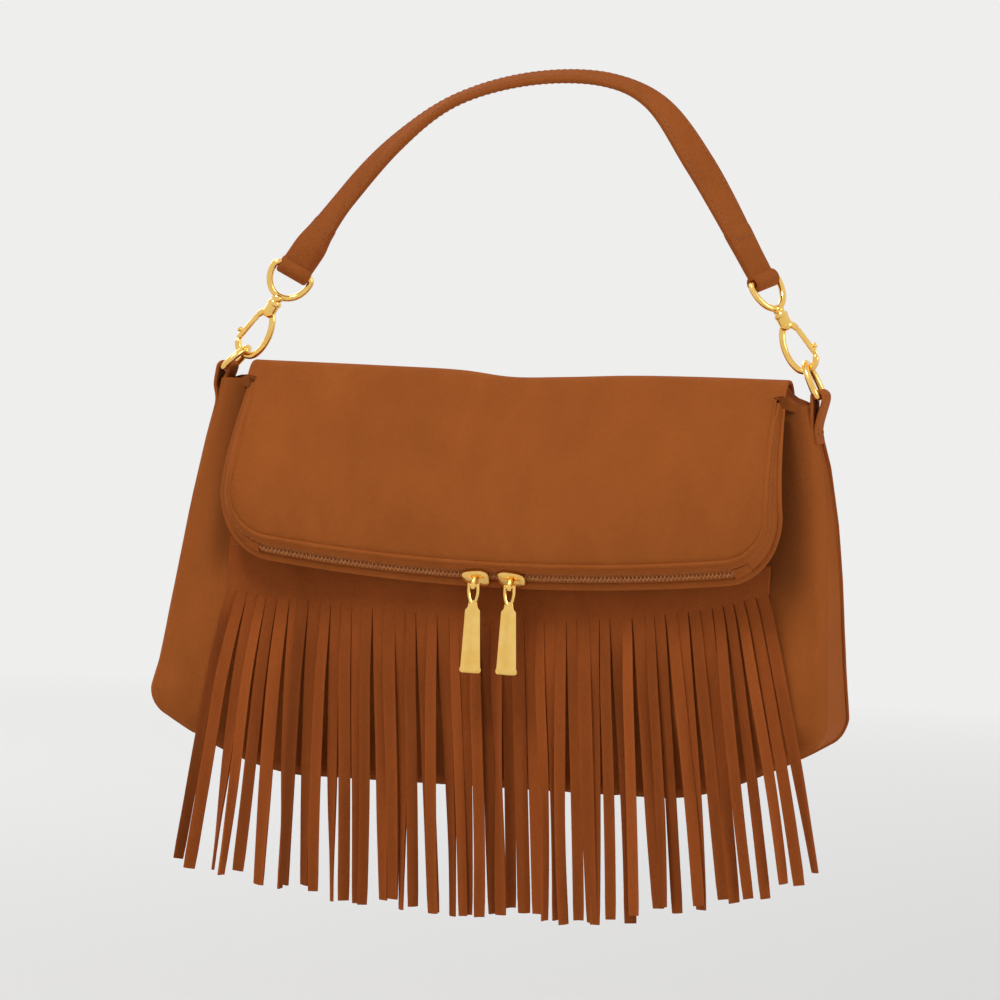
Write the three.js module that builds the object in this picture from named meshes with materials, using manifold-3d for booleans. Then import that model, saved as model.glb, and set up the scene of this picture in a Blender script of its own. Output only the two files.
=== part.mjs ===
// A fold-over suede bag with a fringe, hanging from its strap.
// Millimetres. X to the right, Y to the back, Z up. The origin is on the underside of the strap,
// where a hand holds it. Heights below are measured from the top fold, then moved down as one.

import * as THREE from 'three';
import { mergeVertices } from 'three/addons/utils/BufferGeometryUtils.js';
import Module from 'manifold-3d';

const wasm = await Module();
wasm.setup();

// Driving dimensions
const GAP = 0.3; // clearance between neighbouring pieces
const SUEDE = 1.8; // thickness of body suede
const FLAP_SUEDE = 1.5;

const BODY_DEPTH_TOP = 14; // gusset width at its top
const BODY_DEPTH_BASE = 54; // gusset width at the base
const BODY_TOP = -9; // height of the gusset's top end
const BODY_BASE = -181; // height of the base
const FLAP_TOP_HALF = 119.5;
const SHOULDER = 11.5; // the body's top reaches this far past the flap
const TOP_HALF = FLAP_TOP_HALF + SHOULDER;
const LOWER_FLARE = 21; // the lower corners stand this far outside the top
const LOWER_HALF = TOP_HALF + LOWER_FLARE;
const CORNER_HEIGHT = -146; // where the side turns into the lower corner
const CORNER_RADIUS = 13;
const BASE_HALF = 80; // half length of the flat base
const FRONT_BULGE = 11;
const BACK_BULGE = 7;
const SET_BACK = 16; // how far the base hangs behind the rings

const FOLD_FRONT = -13.6; // the flap leaves the fold here
const FOLD_DROP = -7.5;
const FLAP_LOW_HALF = 122;
const FLAP_CORNER = 20;
const FLAP_LOW = -82; // height of the flap's seam at the middle
const FLAP_ARC = 830; // radius of the flap's lower edge
const FLAP_FRONT = -48; // how far forward the flap's lower seam stands
const BAND_DROP = 10.5; // zip band: fall and setback along the lower edge
const BAND_SIDE = 5; // zip band: width seen along the sides
const BAND_START = 0.16; // how far down the flap's side the band begins
const PLAIN_SHARE = 1 / 6; // share of the band, from each end, that is plain suede without teeth
const STOP_LENGTH = 3;
const PIPING_RADIUS = 1.1;

const STRAND_COUNT = 50;
const STRAND_WIDTH = 4.2;
const STRAND_THICKNESS = 1.2;
const STRAND_LENGTH = 131;
const STRAND_LENGTH_END = 114;
const HEADER_HALF = 121;
const HEADER_SHIFT = -3; // how far the fringe sits to the left
const HEADER_TOP = -78;
const HEADER_LOW = -106;
const HEADER_RISE = 8; // how much higher the strands start at the ends
const FAN = 24; // how far the outer strands spread at their tips
const STRAND_LEAN = 6.5;
const HEADER_STANDOFF = 1.3; // slack between the front panel and the fringe

const RING_WIRE = 1.5; // radius
const RING_HALF = 9;
const RING_OFFSET = 2.6; // the ring's bar stands outside the body's top
const RING_BAR_X = TOP_HALF + RING_OFFSET;
const RING_BAR_Z = -4;
const CONTACT_LEFT = new THREE.Vector3(8.8 - RING_BAR_X, 0, 5);
const CONTACT_RIGHT = new THREE.Vector3(RING_BAR_X - 7.2, 0, 10.4);
const AIM_LEFT = new THREE.Vector3(19.1, 0, 33.6); // each hook points this way from its contact
const AIM_RIGHT = new THREE.Vector3(-20.5, 0, 35.2);
const TAB_WIDTH = 14;
const TAB_LENGTH = 15;
const TAB_LAYER = 1.6;

const HOOK_WIRE = 1.45;
const BARREL_RADIUS = 3.1;
const BARREL_LOW = 17;
const BARREL_TOP = 24.5;
const EYE_HEIGHT = 40.5; // ring contact to the eye's bar
const EYE_HALF = 9.2;
const STEM_RADIUS = 1.2;
const EYE_TURN_LEFT = 20; // degrees off the picture plane
const EYE_TURN_RIGHT = 60;

const STRAP_WIDTH = 14.5;
const STRAP_THICKNESS = 5;
const STRAP_TURN_CROWN = 75;
const STRAP_KNOTS = [
  [-83, 72.6], [-60.4, 98.6], [-35.1, 117.9], [0, 129], [34, 129.5], [54.5, 121], [75.5, 95],
];

const SLIDER_LENGTH = 12.5;
const SLIDER_WIDTH = 10;
const SLIDER_BACK_WIDTH = 6;
const SLIDER_PLATE = 1.4;
const SLIDER_SPACING = 16;
const LUG_WIDTH = 2;
const PIN_RADIUS = 0.8;
const PIN_STANDOFF = 6.5;
const TEETH_THICKNESS = 2.4;
const TAPE_THICKNESS = 0.8;
const PULL_LENGTH = 39;
const PULL_THICKNESS = 2.4;

const suede = new THREE.MeshStandardMaterial({ color: 0x9b5523, roughness: 0.95, metalness: 0 });
const suedeInside = new THREE.MeshStandardMaterial({ color: 0x7d441d, roughness: 0.95, metalness: 0 });
const fabric = new THREE.MeshStandardMaterial({ color: 0x6f5138, roughness: 0.9, metalness: 0 });
const board = new THREE.MeshStandardMaterial({ color: 0x8a7a63, roughness: 0.9, metalness: 0 });
const tape = new THREE.MeshStandardMaterial({ color: 0x5a3014, roughness: 0.9, metalness: 0 });
const coil = new THREE.MeshStandardMaterial({ color: 0x7a4520, roughness: 0.5, metalness: 0 });
const gold = new THREE.MeshStandardMaterial({ color: 0xe5c27f, roughness: 0.25, metalness: 1 });

// Geometry helpers

function v3(x, y, z) {
  return new THREE.Vector3(x, y, z);
}

function closedMesh(positions, indices) {
  let volume = 0;
  const [a, b, c] = [v3(), v3(), v3()];
  for (let i = 0; i < indices.length; i += 3) {
    a.fromArray(positions, indices[i] * 3);
    b.fromArray(positions, indices[i + 1] * 3);
    c.fromArray(positions, indices[i + 2] * 3);
    volume += a.dot(b.cross(c));
  }
  const turned = volume < 0;
  const faces = turned ? indices.map((_, i) => indices[i - (i % 3) + 2 - (i % 3)]) : indices;
  const geometry = new THREE.BufferGeometry();
  geometry.setAttribute('position', new THREE.Float32BufferAttribute(positions, 3));
  geometry.setIndex(faces);
  return geometry;
}

// A sheet of even thickness on either side of the surface that point(u, v) gives, u and v from 0 to 1.
function sheet(point, columns, rows, thickness) {
  const positions = [];
  const indices = [];
  const small = 1e-3;
  const place = (u, v, side) => {
    const du = point(Math.min(u + small, 1), v).sub(point(Math.max(u - small, 0), v));
    const dv = point(u, Math.min(v + small, 1)).sub(point(u, Math.max(v - small, 0)));
    const normal = du.cross(dv).normalize();
    return point(u, v).addScaledVector(normal, (side * thickness) / 2);
  };
  for (const side of [1, -1]) {
    for (let j = 0; j <= rows; j++) {
      for (let i = 0; i <= columns; i++) {
        positions.push(...place(i / columns, j / rows, side).toArray());
      }
    }
  }
  const layer = (columns + 1) * (rows + 1);
  const at = (i, j, side) => j * (columns + 1) + i + (side > 0 ? 0 : layer);
  const quad = (p, q, r, s) => indices.push(p, q, r, p, r, s);
  for (let j = 0; j < rows; j++) {
    for (let i = 0; i < columns; i++) {
      quad(at(i, j, 1), at(i + 1, j, 1), at(i + 1, j + 1, 1), at(i, j + 1, 1));
      quad(at(i, j, -1), at(i, j + 1, -1), at(i + 1, j + 1, -1), at(i + 1, j, -1));
    }
  }
  for (let i = 0; i < columns; i++) {
    quad(at(i, 0, 1), at(i, 0, -1), at(i + 1, 0, -1), at(i + 1, 0, 1));
    quad(at(i, rows, 1), at(i + 1, rows, 1), at(i + 1, rows, -1), at(i, rows, -1));
  }
  for (let j = 0; j < rows; j++) {
    quad(at(0, j, 1), at(0, j + 1, 1), at(0, j + 1, -1), at(0, j, -1));
    quad(at(columns, j, 1), at(columns, j, -1), at(columns, j + 1, -1), at(columns, j + 1, 1));
  }
  return closedMesh(positions, indices);
}

// Rings of points skinned one to the next. Ends are flat, or joined.
function loft(rings, joined = false) {
  const positions = rings.flat().flatMap((point) => point.toArray());
  const indices = [];
  const sides = rings[0].length;
  const spans = joined ? rings.length : rings.length - 1;
  for (let k = 0; k < spans; k++) {
    const next = (k + 1) % rings.length;
    for (let i = 0; i < sides; i++) {
      const j = (i + 1) % sides;
      const [p, q, r, s] = [k * sides + i, k * sides + j, next * sides + j, next * sides + i];
      indices.push(p, q, r, p, r, s);
    }
  }
  if (!joined) {
    const last = (rings.length - 1) * sides;
    for (let i = 1; i < sides - 1; i++) {
      indices.push(0, i + 1, i, last, last + i, last + i + 1);
    }
  }
  return closedMesh(positions, indices);
}

// A section carried along stations, each with an origin and two directions.
function sweep(stations, section, joined = false) {
  const rings = stations.map(({ origin, across, along }) => section.map(([p, q]) => (
    origin.clone().addScaledVector(across, p).addScaledVector(along, q)
  )));
  return loft(rings, joined);
}

function circleSection(radius, sides) {
  return Array.from({ length: sides }, (_, i) => {
    const angle = (2 * Math.PI * i) / sides;
    return [radius * Math.cos(angle), radius * Math.sin(angle)];
  });
}

// A wire that lies in the plane with the given normal.
function wire(points, normal, radius, sides, joined = false) {
  const stations = points.map((origin, i) => {
    const before = joined ? points.at(i - 1) : points[Math.max(i - 1, 0)];
    const after = joined ? points[(i + 1) % points.length] : points[Math.min(i + 1, points.length - 1)];
    const forward = after.clone().sub(before).normalize();
    return { origin, across: forward.clone().cross(normal).normalize(), along: normal };
  });
  return sweep(stations, circleSection(radius, sides), joined);
}

function solid(geometry) {
  const plain = geometry.clone();
  plain.deleteAttribute('normal');
  plain.deleteAttribute('uv');
  const merged = mergeVertices(plain, 1e-4);
  return new wasm.Manifold(new wasm.Mesh({
    numProp: 3,
    vertProperties: new Float32Array(merged.attributes.position.array),
    triVerts: new Uint32Array(merged.index.array),
  }));
}

function geometryOf(manifold) {
  const mesh = manifold.getMesh();
  const geometry = new THREE.BufferGeometry();
  geometry.setAttribute('position', new THREE.BufferAttribute(mesh.vertProperties, 3));
  geometry.setIndex(new THREE.BufferAttribute(mesh.triVerts, 1));
  return geometry;
}

// A cylinder between two points.
function rod(from, to, radius, sides) {
  const length = from.distanceTo(to);
  const geometry = new THREE.CylinderGeometry(radius, radius, length, sides);
  const turn = new THREE.Quaternion().setFromUnitVectors(v3(0, 1, 0), to.clone().sub(from).normalize());
  geometry.applyQuaternion(turn);
  geometry.translate(...from.clone().add(to).multiplyScalar(0.5).toArray());
  return geometry;
}

function boxAt(x0, x1, y0, y1, z0, z1) {
  const geometry = new THREE.BoxGeometry(x1 - x0, y1 - y0, z1 - z0);
  geometry.translate((x0 + x1) / 2, (y0 + y1) / 2, (z0 + z1) / 2);
  return geometry;
}

const bag = new THREE.Group();

function add(name, geometry, material) {
  const mesh = new THREE.Mesh(geometry, material);
  mesh.name = name;
  bag.add(mesh);
  return mesh;
}

// The bag hangs with its weight under the rings, so lower points stand further back.
function settle(x, y, z) {
  return v3(x, y + (SET_BACK * z) / BODY_BASE, z);
}

// Body

// Right half of the body's outline from the gusset's top to the end of the flat base.
function bodyOutline(inset = 0) {
  const points = [];
  const top = v3(TOP_HALF - inset, 0, BODY_TOP);
  const side = v3(LOWER_HALF - inset, 0, CORNER_HEIGHT);
  for (let i = 0; i <= 5; i++) {
    points.push(top.clone().lerp(side, i / 5));
  }
  const radius = CORNER_RADIUS - inset;
  const centre = v3(LOWER_HALF - CORNER_RADIUS, 0, CORNER_HEIGHT);
  const turned = THREE.MathUtils.degToRad(64);
  for (let i = 1; i <= 4; i++) {
    const angle = (turned * i) / 4;
    points.push(v3(centre.x + radius * Math.cos(angle), 0, centre.z - radius * Math.sin(angle)));
  }
  const end = points.at(-1);
  const base = v3(BASE_HALF, 0, BODY_BASE + inset);
  const knee = v3(BASE_HALF + 0.42 * (end.x - BASE_HALF), 0, BODY_BASE + inset);
  const curve = new THREE.QuadraticBezierCurve3(end, knee, base);
  for (let i = 1; i <= 5; i++) {
    points.push(curve.getPoint(i / 5));
  }
  return points;
}

function halfDepth(z) {
  const down = THREE.MathUtils.clamp((BODY_TOP - z) / (BODY_TOP - CORNER_HEIGHT), 0, 1);
  return (BODY_DEPTH_TOP + (BODY_DEPTH_BASE - BODY_DEPTH_TOP) * down) / 2;
}

function swell(x, z, half) {
  const down = (BODY_TOP - z) / (BODY_TOP - BODY_BASE);
  const across = Math.min(Math.abs(x) / half, 1);
  return Math.sin(Math.PI * THREE.MathUtils.clamp(down, 0, 1)) * (1 - across ** 3);
}

// Half width of the body at a height, read off the outline.
function halfWidth(z) {
  const outline = bodyOutline();
  for (let i = 1; i < outline.length; i++) {
    if (z >= outline[i].z) {
      const part = (outline[i - 1].z - z) / (outline[i - 1].z - outline[i].z);
      return outline[i - 1].x + (outline[i].x - outline[i - 1].x) * Math.max(part, 0);
    }
  }
  return outline.at(-1).x;
}

// Mid-thickness of the front and back panels.
function frontY(x, z) {
  return -(halfDepth(z) + GAP + SUEDE / 2) - FRONT_BULGE * swell(x, z, halfWidth(z));
}

function backY(x, z) {
  return halfDepth(z) + GAP + SUEDE / 2 + BACK_BULGE * swell(x, z, halfWidth(z));
}

function alongList(points, part) {
  const place = THREE.MathUtils.clamp(part, 0, 1) * (points.length - 1);
  const i = Math.min(Math.floor(place), points.length - 2);
  return points[i].clone().lerp(points[i + 1], place - i);
}

const PANEL_COLUMNS = 12;

function frontPanel() {
  const outline = bodyOutline();
  const point = (u, v) => {
    const edge = alongList(outline, v);
    const x = (2 * u - 1) * edge.x;
    return settle(x, frontY(x, edge.z), edge.z);
  };
  return sheet(point, PANEL_COLUMNS, outline.length - 1, SUEDE);
}

// The fold: an arc from the back panel over the top to the flap.
function foldPoints() {
  const back = halfDepth(BODY_TOP) + GAP + SUEDE / 2;
  const middle = (back + FOLD_FRONT) / 2;
  const reach = (back - FOLD_FRONT) / 2;
  const crest = -SUEDE / 2;
  const points = [];
  const stop = 158;
  for (let degrees = 0; degrees <= stop; degrees += stop / 7) {
    const angle = THREE.MathUtils.degToRad(degrees);
    const rise = degrees < 90 ? crest - BODY_TOP : crest - FOLD_DROP;
    const floor = crest - rise;
    points.push(v3(0, middle + reach * Math.cos(angle), floor + rise * Math.sin(angle)));
  }
  return points;
}

function backPanel() {
  const outline = bodyOutline().reverse();
  const fold = foldPoints();
  const rows = [...outline, ...fold.slice(1)];
  const shoulder = FLAP_TOP_HALF + GAP;
  const point = (u, v) => {
    const edge = alongList(rows, v);
    const inFold = v * (rows.length - 1) > outline.length - 1;
    if (!inFold) {
      const x = (2 * u - 1) * edge.x;
      return settle(x, backY(x, edge.z), edge.z);
    }
    const steps = v * (rows.length - 1) - (outline.length - 1);
    const first = Math.min(steps, 1);
    const half = TOP_HALF + (shoulder - TOP_HALF) * first;
    const from = v3(0, backY(0, BODY_TOP), BODY_TOP);
    const place = steps <= 1 ? from.lerp(fold[1], steps) : alongList(fold, steps / (fold.length - 1));
    return settle((2 * u - 1) * half, place.y, place.z);
  };
  return sheet(point, PANEL_COLUMNS, rows.length - 1, SUEDE);
}

function gusset(side) {
  const outline = bodyOutline(SUEDE / 2);
  const point = (u, v) => {
    const edge = alongList(outline, v);
    return settle(side * edge.x, (2 * u - 1) * halfDepth(edge.z), edge.z);
  };
  return sheet(point, 4, outline.length - 1, SUEDE);
}

function basePanel() {
  const half = BODY_DEPTH_BASE / 2;
  const low = BODY_BASE;
  const base = boxAt(-BASE_HALF + GAP, BASE_HALF - GAP, -half, half, low, low + SUEDE);
  base.translate(0, SET_BACK, 0);
  return base;
}

const BOARD_THICKNESS = 1.6;
const BOARD_MARGIN = 4;

function baseBoard() {
  const half = BODY_DEPTH_BASE / 2 - BOARD_MARGIN;
  const low = BODY_BASE + SUEDE + GAP;
  const length = BASE_HALF - BOARD_MARGIN;
  const board = boxAt(-length, length, -half, half, low, low + BOARD_THICKNESS);
  board.translate(0, SET_BACK, 0);
  return board;
}

const LINING_THICKNESS = 0.9;

// The lining is an inner bag with an open top.
function liningCore(inset, top) {
  const count = 24;
  const outline = bodyOutline(inset);
  outline[0].z = top;
  return loft(outline.map((edge) => Array.from({ length: count }, (_, i) => {
    const angle = (2 * Math.PI * i) / count;
    const [c, s] = [Math.cos(angle), Math.sin(angle)];
    const x = Math.sign(c) * Math.abs(c) ** 0.55 * edge.x;
    const slack = inset - SUEDE / 2;
    const wall = s < 0 ? frontY(x, edge.z) + slack : backY(x, edge.z) - slack;
    return settle(x, Math.sign(s) * Math.abs(s) ** 0.35 * Math.abs(wall), edge.z);
  })));
}

const LINING_INSET = SUEDE + BOARD_THICKNESS + 2 * GAP;

function lining() {
  const outer = solid(liningCore(LINING_INSET, BODY_TOP));
  const inner = solid(liningCore(LINING_INSET + LINING_THICKNESS, BODY_TOP + 1));
  return geometryOf(outer.subtract(inner));
}

const POCKET_HALF = 75;
const POCKET_TOP = -55;
const POCKET_LOW = -140;

function innerPocket() {
  const off = LINING_INSET + 2 * LINING_THICKNESS + 3 * GAP;
  const point = (u, v) => {
    const x = (2 * u - 1) * POCKET_HALF;
    const z = THREE.MathUtils.lerp(POCKET_TOP, POCKET_LOW, v);
    return settle(x, backY(x, z) - off, z);
  };
  return sheet(point, 6, 4, LINING_THICKNESS);
}

// Fringe

function headerLow(x) {
  return HEADER_LOW + HEADER_RISE * ((x - HEADER_SHIFT) / HEADER_HALF) ** 2;
}

function headerY(x, z) {
  return frontY(x, z) - SUEDE / 2 - HEADER_STANDOFF - STRAND_THICKNESS / 2;
}

// Small, fixed unevenness from one strand to the next.
function uneven(index, salt) {
  return Math.sin(index * 12.9898 + salt * 78.233) * 0.5 + Math.sin(index * 4.17 + salt * 2.3) * 0.5;
}

function strand(index) {
  const part = (index + 0.5) / STRAND_COUNT * 2 - 1;
  const start = HEADER_SHIFT + part * (HEADER_HALF - STRAND_WIDTH / 4);
  const drop = THREE.MathUtils.lerp(STRAND_LENGTH, STRAND_LENGTH_END, part ** 4);
  const length = drop + 2.5 * uneven(index, 1);
  const fan = FAN * part ** 3 + STRAND_LEAN;
  const top = headerLow(start) + 4;
  const depth = 1.4 + 1.4 * uneven(index, 2);
  const steps = 5;
  const stations = [];
  let held = 0;
  for (let k = 0; k <= steps; k++) {
    const t = k / steps;
    const x = start + fan * t ** 0.8 + 1.2 * uneven(index, 3) * t;
    const z = top - (length + 4) * t;
    held = Math.min(held, headerY(x, Math.max(z, BODY_BASE)));
    const y = held - depth * Math.min(3 * t, 1);
    const turn = 0.35 * uneven(index, 4) * t;
    stations.push({
      origin: settle(x, y, z),
      across: v3(Math.cos(turn), Math.sin(turn), 0),
      along: v3(-Math.sin(turn), Math.cos(turn), 0),
    });
  }
  const [w, d] = [STRAND_WIDTH / 2, STRAND_THICKNESS / 2];
  return sweep(stations, [[-w, -d], [w, -d], [w, d], [-w, d]]);
}

function fringe() {
  const header = (u, v) => {
    const x = HEADER_SHIFT + (2 * u - 1) * HEADER_HALF;
    const z = THREE.MathUtils.lerp(HEADER_TOP, headerLow(x), v);
    return settle(x, headerY(x, z), z);
  };
  const pieces = [solid(sheet(header, 24, 2, STRAND_THICKNESS))];
  for (let index = 0; index < STRAND_COUNT; index++) {
    pieces.push(solid(strand(index)));
  }
  return geometryOf(wasm.Manifold.union(pieces));
}

// Flap

// Right half of the flap's lower seam from the middle to the top of the rounded corner.
function flapLower() {
  const points = [];
  const corner = FLAP_LOW_HALF - FLAP_CORNER;
  const arc = (x) => FLAP_LOW + FLAP_ARC - Math.sqrt(FLAP_ARC ** 2 - x ** 2);
  for (let i = 0; i <= 6; i++) {
    const x = (corner * i) / 6;
    points.push({ x, z: arc(x), nx: x / FLAP_ARC, nz: -Math.sqrt(1 - (x / FLAP_ARC) ** 2) });
  }
  const slope = Math.asin(corner / FLAP_ARC);
  const centre = {
    x: corner - FLAP_CORNER * Math.sin(slope),
    z: arc(corner) + FLAP_CORNER * Math.cos(slope),
  };
  for (let i = 1; i <= 6; i++) {
    const angle = slope + ((Math.PI / 2 - slope) * i) / 6;
    const [nx, nz] = [Math.sin(angle), -Math.cos(angle)];
    points.push({ x: centre.x + FLAP_CORNER * nx, z: centre.z + FLAP_CORNER * nz, nx, nz });
  }
  return points;
}

const lowerSeam = flapLower();

// A point of the flap's lower seam. part runs from -1 at the left corner to 1 at the right one.
function seamAt(part) {
  const place = Math.abs(part) * (lowerSeam.length - 1);
  const i = Math.min(Math.floor(place), lowerSeam.length - 2);
  const [a, b, t] = [lowerSeam[i], lowerSeam[i + 1], place - i];
  const side = Math.sign(part) || 1;
  const mix = (key) => a[key] + (b[key] - a[key]) * t;
  return { x: side * mix('x'), z: mix('z'), nx: side * mix('nx'), nz: mix('nz') };
}

function outward(n) {
  return BAND_SIDE * n.nx ** 2 + BAND_DROP * n.nz ** 2;
}

function flapProfile(v, from, to) {
  return from + (to - from) * (1 - (1 - v) ** 1.6);
}

const FLAP_LAYERS = FLAP_SUEDE + 0.8;

// Flap surfaces: spread is 0 on the outer panel and 1 on the inner panel.
function flapPoint(part, v, spread, shrink = 0) {
  const seam = seamAt(part);
  const out = outward(seam) * spread - shrink;
  const low = { x: seam.x + seam.nx * out, z: seam.z + seam.nz * out };
  const topHalf = FLAP_TOP_HALF + 2 * spread - shrink;
  const high = { x: (seam.x / lowerSeam.at(-1).x) * topHalf, z: FOLD_DROP - 1.2 - 4 * spread };
  const outer = flapProfile(v, FOLD_FRONT, FLAP_FRONT);
  const inner = flapProfile(v, FOLD_FRONT + FLAP_LAYERS, FLAP_FRONT + BAND_DROP);
  const y = outer + (inner - outer) * spread;
  const x = high.x + (low.x - high.x) * v;
  const z = high.z + (low.z - high.z) * v;
  const settled = (SET_BACK * (FOLD_DROP + (FLAP_LOW - FOLD_DROP) * v)) / BODY_BASE;
  return v3(x, y + settled, z);
}

function flapPanel(spread, shrink, thickness) {
  const point = (u, v) => flapPoint(2 * u - 1, v, spread, shrink);
  return sheet(point, 20, 7, thickness);
}

// The band runs down the left side, along the lower edge and up the right side.
function bandPoint(t, s) {
  const sideShare = 0.2;
  const along = 2 * t - 1;
  const part = Math.min(Math.abs(along) / (1 - sideShare), 1);
  const up = Math.max((Math.abs(along) - (1 - sideShare)) / sideShare, 0);
  const v = 1 - up * (1 - BAND_START);
  const side = Math.sign(along) || 1;
  return flapPoint(side * part, v, s);
}

const BAND_WIDTH = BAND_DROP * Math.SQRT2;
const BAND_STEPS = 30;

// A strip of the band, given in millimetres from the zip's middle line.
function bandStrip(from, to, thickness, start = 0, end = 1, steps = BAND_STEPS) {
  const [s0, s1] = [0.5 + from / BAND_WIDTH, 0.5 + to / BAND_WIDTH];
  const point = (u, v) => bandPoint(THREE.MathUtils.lerp(start, end, u), THREE.MathUtils.lerp(s0, s1, v));
  return sheet(point, steps, 1, thickness);
}

// Past the teeth the band is closed by plain suede up both sides of the flap.
function bandEnd(side) {
  const [start, end] = side < 0 ? [0, PLAIN_SHARE] : [1 - PLAIN_SHARE, 1];
  return bandStrip(-TAPE_OUTER, TAPE_OUTER, FLAP_SUEDE, start, end, Math.round(BAND_STEPS * PLAIN_SHARE));
}

function findTeethEnd() {
  const plain = bandPoint(PLAIN_SHARE, 0.5);
  let share = PLAIN_SHARE;
  while (bandPoint(share, 0.5).distanceTo(plain) < STOP_LENGTH + 4 * GAP) {
    share += 1e-4;
  }
  return share;
}
const TEETH_END = findTeethEnd();

function zipStrip(from, to, thickness) {
  return bandStrip(from, to, thickness, TEETH_END, 1 - TEETH_END, 20);
}

const TEETH_INNER = 0.5; // half the slot between the rows, where the slider's web runs
const TEETH_OUTER = 2.1;
const TAPE_OUTER = 4;
const FACING_OUTER = BAND_WIDTH / 2 - PIPING_RADIUS - 5 * GAP;

function piping() {
  const count = BAND_STEPS;
  const stations = [];
  for (let i = 0; i <= count; i++) {
    const t = i / count;
    const origin = bandPoint(t, 0);
    const ahead = bandPoint(Math.min(t + 1e-3, 1), 0).sub(bandPoint(Math.max(t - 1e-3, 0), 0)).normalize();
    const across = ahead.clone().cross(v3(0, 1, 0)).normalize();
    stations.push({ origin, across, along: across.clone().cross(ahead).normalize() });
  }
  return sweep(stations, circleSection(PIPING_RADIUS, 6));
}

function zipStop(side) {
  const end = side < 0 ? TEETH_END : 1 - TEETH_END;
  const from = bandPoint(end, 0.5);
  const next = bandPoint(end - side * 0.02, 0.5);
  const ahead = from.clone().sub(next).normalize();
  const across = bandPoint(end, 0.7).sub(bandPoint(end, 0.3)).normalize();
  const normal = ahead.clone().cross(across).normalize();
  const start = from.clone().addScaledVector(ahead, GAP);
  const finish = start.clone().addScaledVector(ahead, STOP_LENGTH);
  const stations = [start, finish].map((origin) => ({ origin, across, along: normal }));
  const [w, d] = [2, TEETH_THICKNESS / 2];
  return sweep(stations, [[-w, -d], [w, -d], [w, d], [-w, d]]);
}

// Zip sliders. Each is drawn at the middle of the lower edge and turned about the edge's own centre.
const bandMiddle = bandPoint(0.5, 0.5);
const arcCentreZ = FLAP_LOW + FLAP_ARC;
const arcReach = arcCentreZ - bandMiddle.z;

function sliderGroup(side) {
  const group = new THREE.Group();
  group.position.set(0, bandMiddle.y, arcCentreZ);
  group.rotation.y = -side * ((SLIDER_SPACING / 2) / arcReach);
  return group;
}

// Slider axes: a along the zip, b across it, n away from the bag.
const across = bandPoint(0.5, 0.7).sub(bandPoint(0.5, 0.3)).normalize();
const outwards = across.clone().cross(v3(1, 0, 0)).normalize();

function onSlider(geometry) {
  geometry.applyMatrix4(new THREE.Matrix4().makeBasis(v3(-1, 0, 0), across, outwards));
  geometry.translate(0, 0, -arcReach);
  return geometry;
}

function roundedPlate(length, width, corner, low, high) {
  const shape = new THREE.Shape();
  const [a, b] = [length / 2, width / 2];
  shape.moveTo(-a + corner, -b);
  shape.lineTo(a - corner, -b);
  shape.quadraticCurveTo(a, -b, a, -b + corner);
  shape.lineTo(a, b - corner);
  shape.quadraticCurveTo(a, b, a - corner, b);
  shape.lineTo(-a + corner, b);
  shape.quadraticCurveTo(-a, b, -a, b - corner);
  shape.lineTo(-a, -b + corner);
  shape.quadraticCurveTo(-a, -b, -a + corner, -b);
  const settings = { depth: high - low, bevelEnabled: false, curveSegments: 4 };
  const plate = new THREE.ExtrudeGeometry(shape, settings);
  plate.translate(0, 0, low);
  return plate;
}

function slider() {
  const near = TEETH_THICKNESS / 2 + GAP;
  const far = near + SLIDER_PLATE;
  const web = TEETH_INNER - GAP;
  const overlap = 0.2;
  const pin = PIN_STANDOFF;
  let body = solid(roundedPlate(SLIDER_LENGTH, SLIDER_WIDTH, 3, near, far));
  body = body.add(solid(roundedPlate(SLIDER_LENGTH, SLIDER_BACK_WIDTH, 2.5, -far, -near)));
  const reach = SLIDER_LENGTH / 3;
  body = body.add(solid(boxAt(-reach, reach, -web, web, -far + overlap, far - overlap)));
  const lug = LUG_WIDTH / 2;
  body = body.add(solid(boxAt(-lug, lug, -1.6, 1.6, far - overlap, pin)));
  body = body.add(solid(rod(v3(-lug, 0, pin), v3(lug, 0, pin), 1.6, 14)));
  const end = pinHalf;
  body = body.add(solid(rod(v3(-end, 0, pin), v3(end, 0, pin), PIN_RADIUS, 10)));
  return onSlider(geometryOf(body));
}

const PRONG = 1.4;
const pinHalf = LUG_WIDTH / 2 + GAP + PRONG;

function pullOutline() {
  const fork = LUG_WIDTH / 2 + GAP + PRONG;
  const shape = new THREE.Shape();
  shape.moveTo(-fork, 0);
  shape.absarc(0, 0, fork, Math.PI, 0, true);
  shape.lineTo(fork, -3.5);
  shape.lineTo(1.9, -7.2);
  shape.lineTo(2.3, -9);
  shape.lineTo(3.5, -10.5);
  shape.lineTo(4.6, -PULL_LENGTH + 3.4);
  shape.lineTo(3.4, -PULL_LENGTH + 1.8);
  shape.lineTo(-3.4, -PULL_LENGTH + 1.8);
  shape.lineTo(-4.6, -PULL_LENGTH + 3.4);
  shape.lineTo(-3.5, -10.5);
  shape.lineTo(-2.3, -9);
  shape.lineTo(-1.9, -7.2);
  shape.lineTo(-fork, -3.5);
  shape.closePath();
  return shape;
}

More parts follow.
